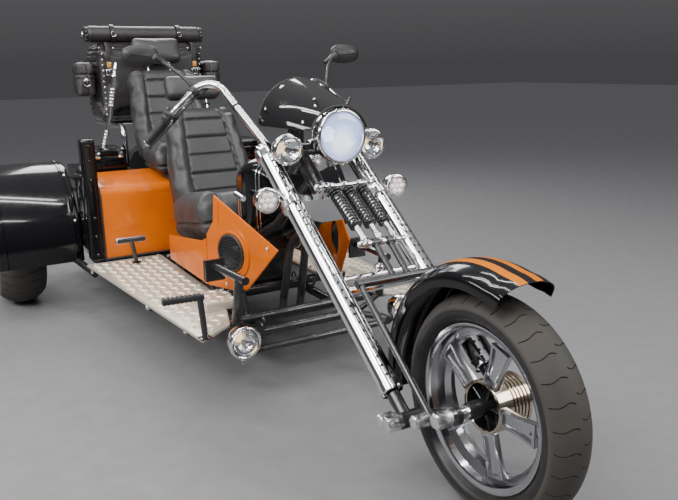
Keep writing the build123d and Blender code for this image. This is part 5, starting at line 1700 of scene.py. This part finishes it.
def make_rear_sides():
    """Glossy columns with bolts, side walls with pressed ribs, and a shelf with a latched box."""
    pieces, bolts, latches = [], [], []
    for sign in (-1, 1):

        def across(inner, outer):
            return (min(sign * inner, sign * outer), max(sign * inner, sign * outer))

        low, high = across(0.515, 0.580)
        column = eased_box((behind(2.250), low, 0.296), (behind(2.170), high, 0.880), 0.012, 3)
        choose_faces(column, lambda c, n: n.x > 0.95 and abs(c.z - 0.6) < 0.1)
        bpy.ops.mesh.inset(thickness=0.006, depth=-0.0025)
        bpy.ops.object.mode_set(mode="OBJECT")
        pieces.append(column)
        low, high = across(0.515, 0.527)
        wall = eased_box((behind(2.880), low, 0.250), (behind(2.252), high, 0.690), 0.003)
        pieces.append(wall)
        for z in (0.560, 0.620):
            outer = sign * 0.528
            pieces.append(bar((behind(2.850), outer, z), (behind(2.270), outer, z), 0.005, 12, 0.002))
        low, high = across(0.530, 0.580)
        pieces.append(eased_box((-0.877, low, 0.340), (behind(2.252), high, 0.700), 0.004))
        low, high = across(0.272, 0.515)
        pieces.append(eased_box((behind(2.880), low, 0.676), (behind(2.440), high, 0.690), 0.003))
        low, high = across(0.302, 0.475)
        pieces.append(eased_box((behind(2.720), low, 0.688), (behind(2.470), high, 0.766), 0.008, 3))
        pieces.append(eased_box(
            (behind(2.724), low - 0.003, 0.768), (behind(2.466), high + 0.003, 0.796), 0.008, 3))
        front_x = behind(2.170)
        for z in (0.330, 0.420, 0.510, 0.690, 0.780, 0.850):
            bolts.append(((front_x, sign * 0.5475, z), (1, 0, 0)))
        for z in (0.400, 0.520, 0.640):
            bolts.append(((behind(2.290), sign * 0.580, z), (0, sign, 0)))
        latch_x, pin_x = behind(2.470), behind(2.466)
        for y in (0.330, 0.447):
            low, high = across(y - 0.012, y + 0.012)
            latches.append(eased_box(
                (latch_x - 0.001, low, 0.752), (latch_x + 0.005, high, 0.784), 0.002))
            latches.append(bar((pin_x, low, 0.758), (pin_x, high, 0.758), 0.003, 10, 0.001))
    dress(joined(pieces), "rear_side_walls", "black_gloss", "frame", "rear_sides", angle=35)
    dress(set_out(hex_nut(0.017, 0.008), bolts), "rear_side_bolts", "black_gloss", "frame", angle=30)
    dress(joined(latches), "shelf_box_latches", "chrome", "frame")


def make_rear_fenders():
    """Wide fenders with a raised bead along each rim and rolled edges."""
    shells, bolts = [], []
    inner, outer, crown = 0.580, 0.9715, 0.404
    middle = (inner + outer) / 2
    for sign in (-1, 1):
        half = (outer - inner) / 2
        profile = [(crown - 0.026, half - 0.004), (crown - 0.010, half), (crown - 0.004, half - 0.001),
                   (crown - 0.001, half - 0.006), (crown, half - 0.014), (crown, half - 0.030),
                   (crown + 0.003, half - 0.034), (crown + 0.003, half - 0.040), (crown, half - 0.044)]
        profile = profile + [(crown + 0.002, 0.0)] + [(r, -h) for r, h in reversed(profile)]
        centre = (REAR_X, sign * middle, REAR_Z)
        shell = spun(profile, centre, (0, -1, 0), 60, radians(187), (-1, 0, 0))
        applied(shell, "SOLIDIFY", thickness=0.004, offset=-1)
        shells.append(shell)
        for turn in (22, 62, 102, 142):
            away = Vector((cos(radians(turn)), 0, sin(radians(turn))))
            for y in (inner + 0.022, outer - 0.022):
                place = Vector((REAR_X, sign * y, REAR_Z)) + away * (crown - 0.0005)
                bolts.append((place, away))
    dress(joined(shells), "rear_fender_shells", "black_gloss", "frame", "rear_fenders", angle=35)
    head = spun([(0.008, 0), (0.0076, 0.002), (0.0055, 0.004), (0.0, 0.0048)], steps=18)
    dress(set_out(head, bolts), "rear_fender_bolts", "chrome", "frame")


def make_tail_lamps():
    """Domed red lamps with stepped rings, a centre cap and a chrome ring."""
    lenses, rings = [], []
    for sign in (-1, 1):
        centre = (-1.640, sign * REAR_WHEEL_Y, 0.420)
        lenses.append(spun(
            [(0.0, 0.0190), (0.006, 0.0190), (0.008, 0.0172), (0.016, 0.0166), (0.0175, 0.0182),
             (0.0195, 0.0182), (0.021, 0.0150), (0.027, 0.0138), (0.0285, 0.0152), (0.0305, 0.0148),
             (0.032, 0.0105), (0.038, 0.0070), (0.040, 0.0020)], centre, (-1, 0, 0), 56))
        rings.append(spun(
            [(0.0385, 0.0010), (0.0400, 0.0070), (0.0430, 0.0095), (0.0460, 0.0080), (0.0480, 0.0030),
             (0.0480, -0.0100), (0.0460, -0.0160), (0.0440, -0.0420), (0.0380, -0.0440)],
            centre, (-1, 0, 0), 56))
    dress(joined(lenses), "tail_lamp_lenses", "tail_red", "frame", "tail_lamps", angle=25)
    dress(joined(rings), "tail_lamp_rings", "chrome", "frame", angle=35)


def make_dampers():
    """Brass-coloured coil springs between cups, on black rods."""
    coils, rods = [], []
    for sign in (-1, 1):
        start = Vector((REAR_X + 0.150, sign * 0.648, 0.314))
        axis = Vector((0, sign * 0.06, 1)).normalized()
        coils.append(bent_pipe(helix(start + axis * 0.062, axis, 0.0225, 0.146, 8), 0.0042, 8, 3))
        for at in (0.052, 0.210):
            coils.append(spun(
                [(0.010, 0), (0.024, 0), (0.0265, 0.002), (0.0265, 0.006), (0.024, 0.008),
                 (0.010, 0.008)], start + axis * at, axis, 32))
        rods.append(spun(
            [(0.0, 0.004), (0.0125, 0.004), (0.0140, 0.006), (0.0140, 0.120), (0.0120, 0.122),
             (0.0120, 0.128), (0.0070, 0.130), (0.0070, 0.270), (0.0, 0.272)], start, axis, 32))
        for at in (0.010, 0.288):
            rods.append(spun(
                [(0.007, -0.015), (0.014, -0.015), (0.0155, -0.013), (0.0155, 0.013), (0.014, 0.015),
                 (0.007, 0.015), (0.007, -0.015)], start + axis * at, (0, 1, 0), 28))
    dress(joined(coils), "damper_springs", "brass", "frame", "rear_dampers", angle=50)
    dress(joined(rods), "damper_rods", "slider_black", "frame")


def make_grab_hoop_rings():
    """Close-set ring beads along the grab hoop."""
    path = [Vector((behind(2.660), -0.400, 0.682)), Vector((behind(2.620), -0.330, 0.960)),
            Vector((behind(2.590), -0.296, 1.180))]
    beads = []
    for start, end, first, last in ((path[0], path[1], 0.16, 0.80), (path[1], path[2], 0.22, 0.72)):
        axis = (end - start).normalized()
        length = (end - start).length
        count = int(length * (last - first) / 0.017)
        for i in range(count):
            beads.append((start + axis * (length * first + 0.017 * i), axis))
    bead = spun(
        [(0.0105, -0.0065), (0.0128, -0.0058), (0.0148, -0.0030), (0.0152, 0.0), (0.0148, 0.0030),
         (0.0128, 0.0058), (0.0105, 0.0065)], steps=24)
    dress(set_out(bead, beads), "grab_hoop_rings", "chrome", "frame", angle=50)


# Engine

CASE_REAR_X = -1.701
FAN_X, FAN_Z = -1.516, 0.610
PULLEY_Z = 0.330
SILENCER_X, SILENCER_Y, SILENCER_Z = -1.691, 0.300, 0.262


def make_engine_details():
    """Rocker covers, fan guard, pulley bolts and case bolts."""
    bright, dark = [], []
    for sign in (-1, 1):
        for ahead in (0.290, 0.110):
            x = CASE_REAR_X + ahead
            cover = eased_box((x - 0.056, min(sign * 0.290, sign * 0.318), 0.276),
                              (x + 0.056, max(sign * 0.290, sign * 0.318), 0.364), 0.010, 3)
            choose_faces(cover, lambda c, n: n.y * sign > 0.95)
            bpy.ops.mesh.inset(thickness=0.012, depth=0.004)
            bpy.ops.object.mode_set(mode="OBJECT")
            dark.append(cover)
            for dx in (-0.044, 0.044):
                for z in (0.286, 0.354):
                    bright.append(((x + dx, sign * 0.317, z), (0, sign, 0)))
    for i in range(6):
        turn = 2 * pi * i / 6
        bright.append(((-1.7445, 0.020 * cos(turn), PULLEY_Z + 0.020 * sin(turn)), (-1, 0, 0)))
    for y in (-0.100, 0.100):
        for z in (0.225, 0.300, 0.375, 0.450):
            bright.append(((-1.7005, y, z), (-1, 0, 0)))
    dress(set_out(hex_nut(0.012, 0.006), bright), "engine_bolts", "chrome", "frame", angle=30)
    dress(joined(dark), "rocker_covers", "black_gloss", "frame", angle=35)
    guard = []
    for radius in (0.030, 0.052, 0.074):
        guard.append(spun(
            [(radius - 0.0018, 0), (radius, 0.0018), (radius + 0.0018, 0), (radius, -0.0018),
             (radius - 0.0018, 0)], (FAN_X, 0, FAN_Z), (-1, 0, 0), 48))
    for i in range(6):
        turn = 2 * pi * i / 6
        away = Vector((0, cos(turn), sin(turn)))
        centre = Vector((FAN_X + 0.002, 0, FAN_Z))
        guard.append(bar(centre + away * 0.016, centre + away * 0.100, 0.0022, 8, 0))
    guard.append(spun(
        [(0.0, 0.006), (0.012, 0.005), (0.018, 0.001), (0.018, -0.004)],
        (FAN_X, 0, FAN_Z), (-1, 0, 0), 32))
    slat_x = -1.5185
    for sign in (-1, 1):
        for z in (0.500, 0.560, 0.620):
            reach = 0.205 - 0.5 * (z - 0.5)
            guard.append(bar((slat_x, sign * 0.135, z), (slat_x, sign * reach, z), 0.0035, 10, 0.001))
    dress(joined(guard), "fan_guard", "bag_metal", "frame", angle=50)


def make_exhausts():
    """Header pipes, silencers with end bands, and hollow tips."""
    bright, dark = [], []
    for sign in (-1, 1):
        bright.append(bent_pipe(
            [(-1.411, sign * 0.262, 0.270), (-1.411, sign * 0.262, 0.176),
             (-1.450, sign * 0.266, 0.176), (-1.591, sign * 0.290, 0.176),
             (-1.660, sign * 0.296, 0.200), (-1.700, sign * 0.300, 0.262)],
            0.021, 20, 3))
        bright.append(bar((-1.591, sign * 0.284, 0.270), (-1.591, sign * 0.289, 0.180), 0.019, 24, 0))
        bright.append(spun(
            [(0.0, 0.0), (0.040, 0.0), (0.048, 0.003), (0.052, 0.010), (0.0535, 0.012), (0.0535, 0.018),
             (0.052, 0.020), (0.052, 0.118), (0.0535, 0.120), (0.0535, 0.126), (0.052, 0.128),
             (0.048, 0.136), (0.040, 0.139), (0.034, 0.139), (0.034, 0.147), (0.033, 0.149),
             (0.030, 0.149), (0.029, 0.147), (0.029, 0.120), (0.0, 0.118)],
            (SILENCER_X, sign * SILENCER_Y, SILENCER_Z), (-1, 0, 0), 56))
        dark.append(spun(
            [(0.0, 0.121), (0.0285, 0.122), (0.0288, 0.140), (0.0284, 0.140), (0.0280, 0.124),
             (0.0, 0.123)],
            (SILENCER_X, sign * SILENCER_Y, SILENCER_Z), (-1, 0, 0), 40))
        for x in (-1.411, -1.591):
            bright.append(spun(
                [(0.019, -0.004), (0.032, -0.004), (0.034, -0.002), (0.034, 0.002), (0.032, 0.004),
                 (0.019, 0.004)], (x, sign * 0.270, 0.262), (0, 0, 1), 32))
    dress(joined(bright), "exhaust_pipes", "chrome", "frame", "exhausts", angle=35)
    dress(joined(dark), "exhaust_bores", "recess_black", "frame", angle=35)


# Screen

def make_screen_trim():
    """Rubber bead round the screen's edges, with screws and washers along it."""
    rear = [
        (behind(1.092), 0.1635 * sin(radians(a)), 0.982 + 0.1705 * cos(radians(a)))
        for a in range(-86, 87, 4)
    ]
    front = [
        (behind(0.792), 0.110 * sin(radians(a)), 0.962 + 0.104 * cos(radians(a)))
        for a in range(-72, 73, 4)
    ]
    beads = [bent_pipe(rear, 0.0042, 8, 3), bent_pipe(front, 0.0040, 8, 3)]
    for sign in (-1, 1):
        beads.append(bent_pipe(
            [(behind(0.792), sign * 0.1055, 0.993), (behind(0.930), sign * 0.1455, 0.993),
             (behind(1.092), sign * 0.1630, 0.993)], 0.0038, 8, 3))
    dress(joined(beads), "screen_edge_bead", "grip_rubber", "fork", angle=50)
    screws = []
    for back, half, height, z, lean in (
        (1.060, 0.1600, 0.1640, 0.983, 0.08), (0.840, 0.1240, 0.1170, 0.966, 0.35),
    ):
        for a in (-66, 66, -30, 30):
            turn = radians(a)
            out = Vector((lean, sin(turn) / half, cos(turn) / height)).normalized()
            screws.append(((behind(back), half * sin(turn), z + height * cos(turn)), out))
    head = spun([(0.0085, 0), (0.0085, 0.0012), (0.0060, 0.0016), (0.0056, 0.0036), (0.0036, 0.0048),
                 (0.0, 0.0050)], steps=18)
    dress(set_out(head, screws), "screen_screws", "chrome", "fork", angle=35)


# Frame

def make_frame_bolts():
    """Nuts on the cross tubes' ends and weld beads where the tubes meet the rails."""
    nuts = []
    for back, half in ((1.130, 0.470), (1.480, 0.510), (2.150, 0.585)):
        for sign in (-1, 1):
            nuts.append(((behind(back), sign * half, 0.257), (0, sign, 0)))
    dress(set_out(hex_nut(0.026, 0.012), nuts), "cross_tube_caps", "chrome", "frame", angle=30)
    beads = []
    for back in (1.070, 1.215, 1.560, 1.900, 2.300):
        for y in (-0.190, 0.190):
            beads.append(spun(
                [(0.0195, -0.004), (0.0225, -0.002), (0.0232, 0.0), (0.0225, 0.002), (0.0195, 0.004)],
                (behind(back), y, 0.257), (0, 1, 0), 28))
    dress(joined(beads), "frame_weld_beads", "black_frame", "frame", angle=60)


make_tyre("front_tyre", "front_wheel", FRONT_CENTRE, 0.311, 0.135, 0.230, 0.050, 0.0035)
make_front_wheel()
for name, sign in (("right", -1), ("left", 1)):
    centre = (REAR_X, sign * REAR_WHEEL_Y, REAR_Z)
    make_tyre(f"rear_tyre_{name}", f"rear_wheel_{name}", centre, 0.318, 0.215, 0.203, 0.0935, 0.005)
    make_rear_wheel(name, sign)
make_fork_covers()
make_springs()
make_rocker_nuts()
make_front_fender()
make_lamps()
make_footboards()
make_pedals()
make_side_panels()
make_tank_trim()
make_grips()
make_hand_controls()
make_mirrors()
make_bar_fittings()
for name in SEATS:
    make_seat_back(name)
make_cushion("front", radians(10))
make_cushion("rear", 0.0)
make_trunk()
make_roll_and_pouches()
make_rear_body()
make_rear_sides()
make_rear_fenders()
make_tail_lamps()
make_dampers()
make_grab_hoop_rings()
make_engine_details()
make_exhausts()
make_screen_trim()
make_frame_bolts()
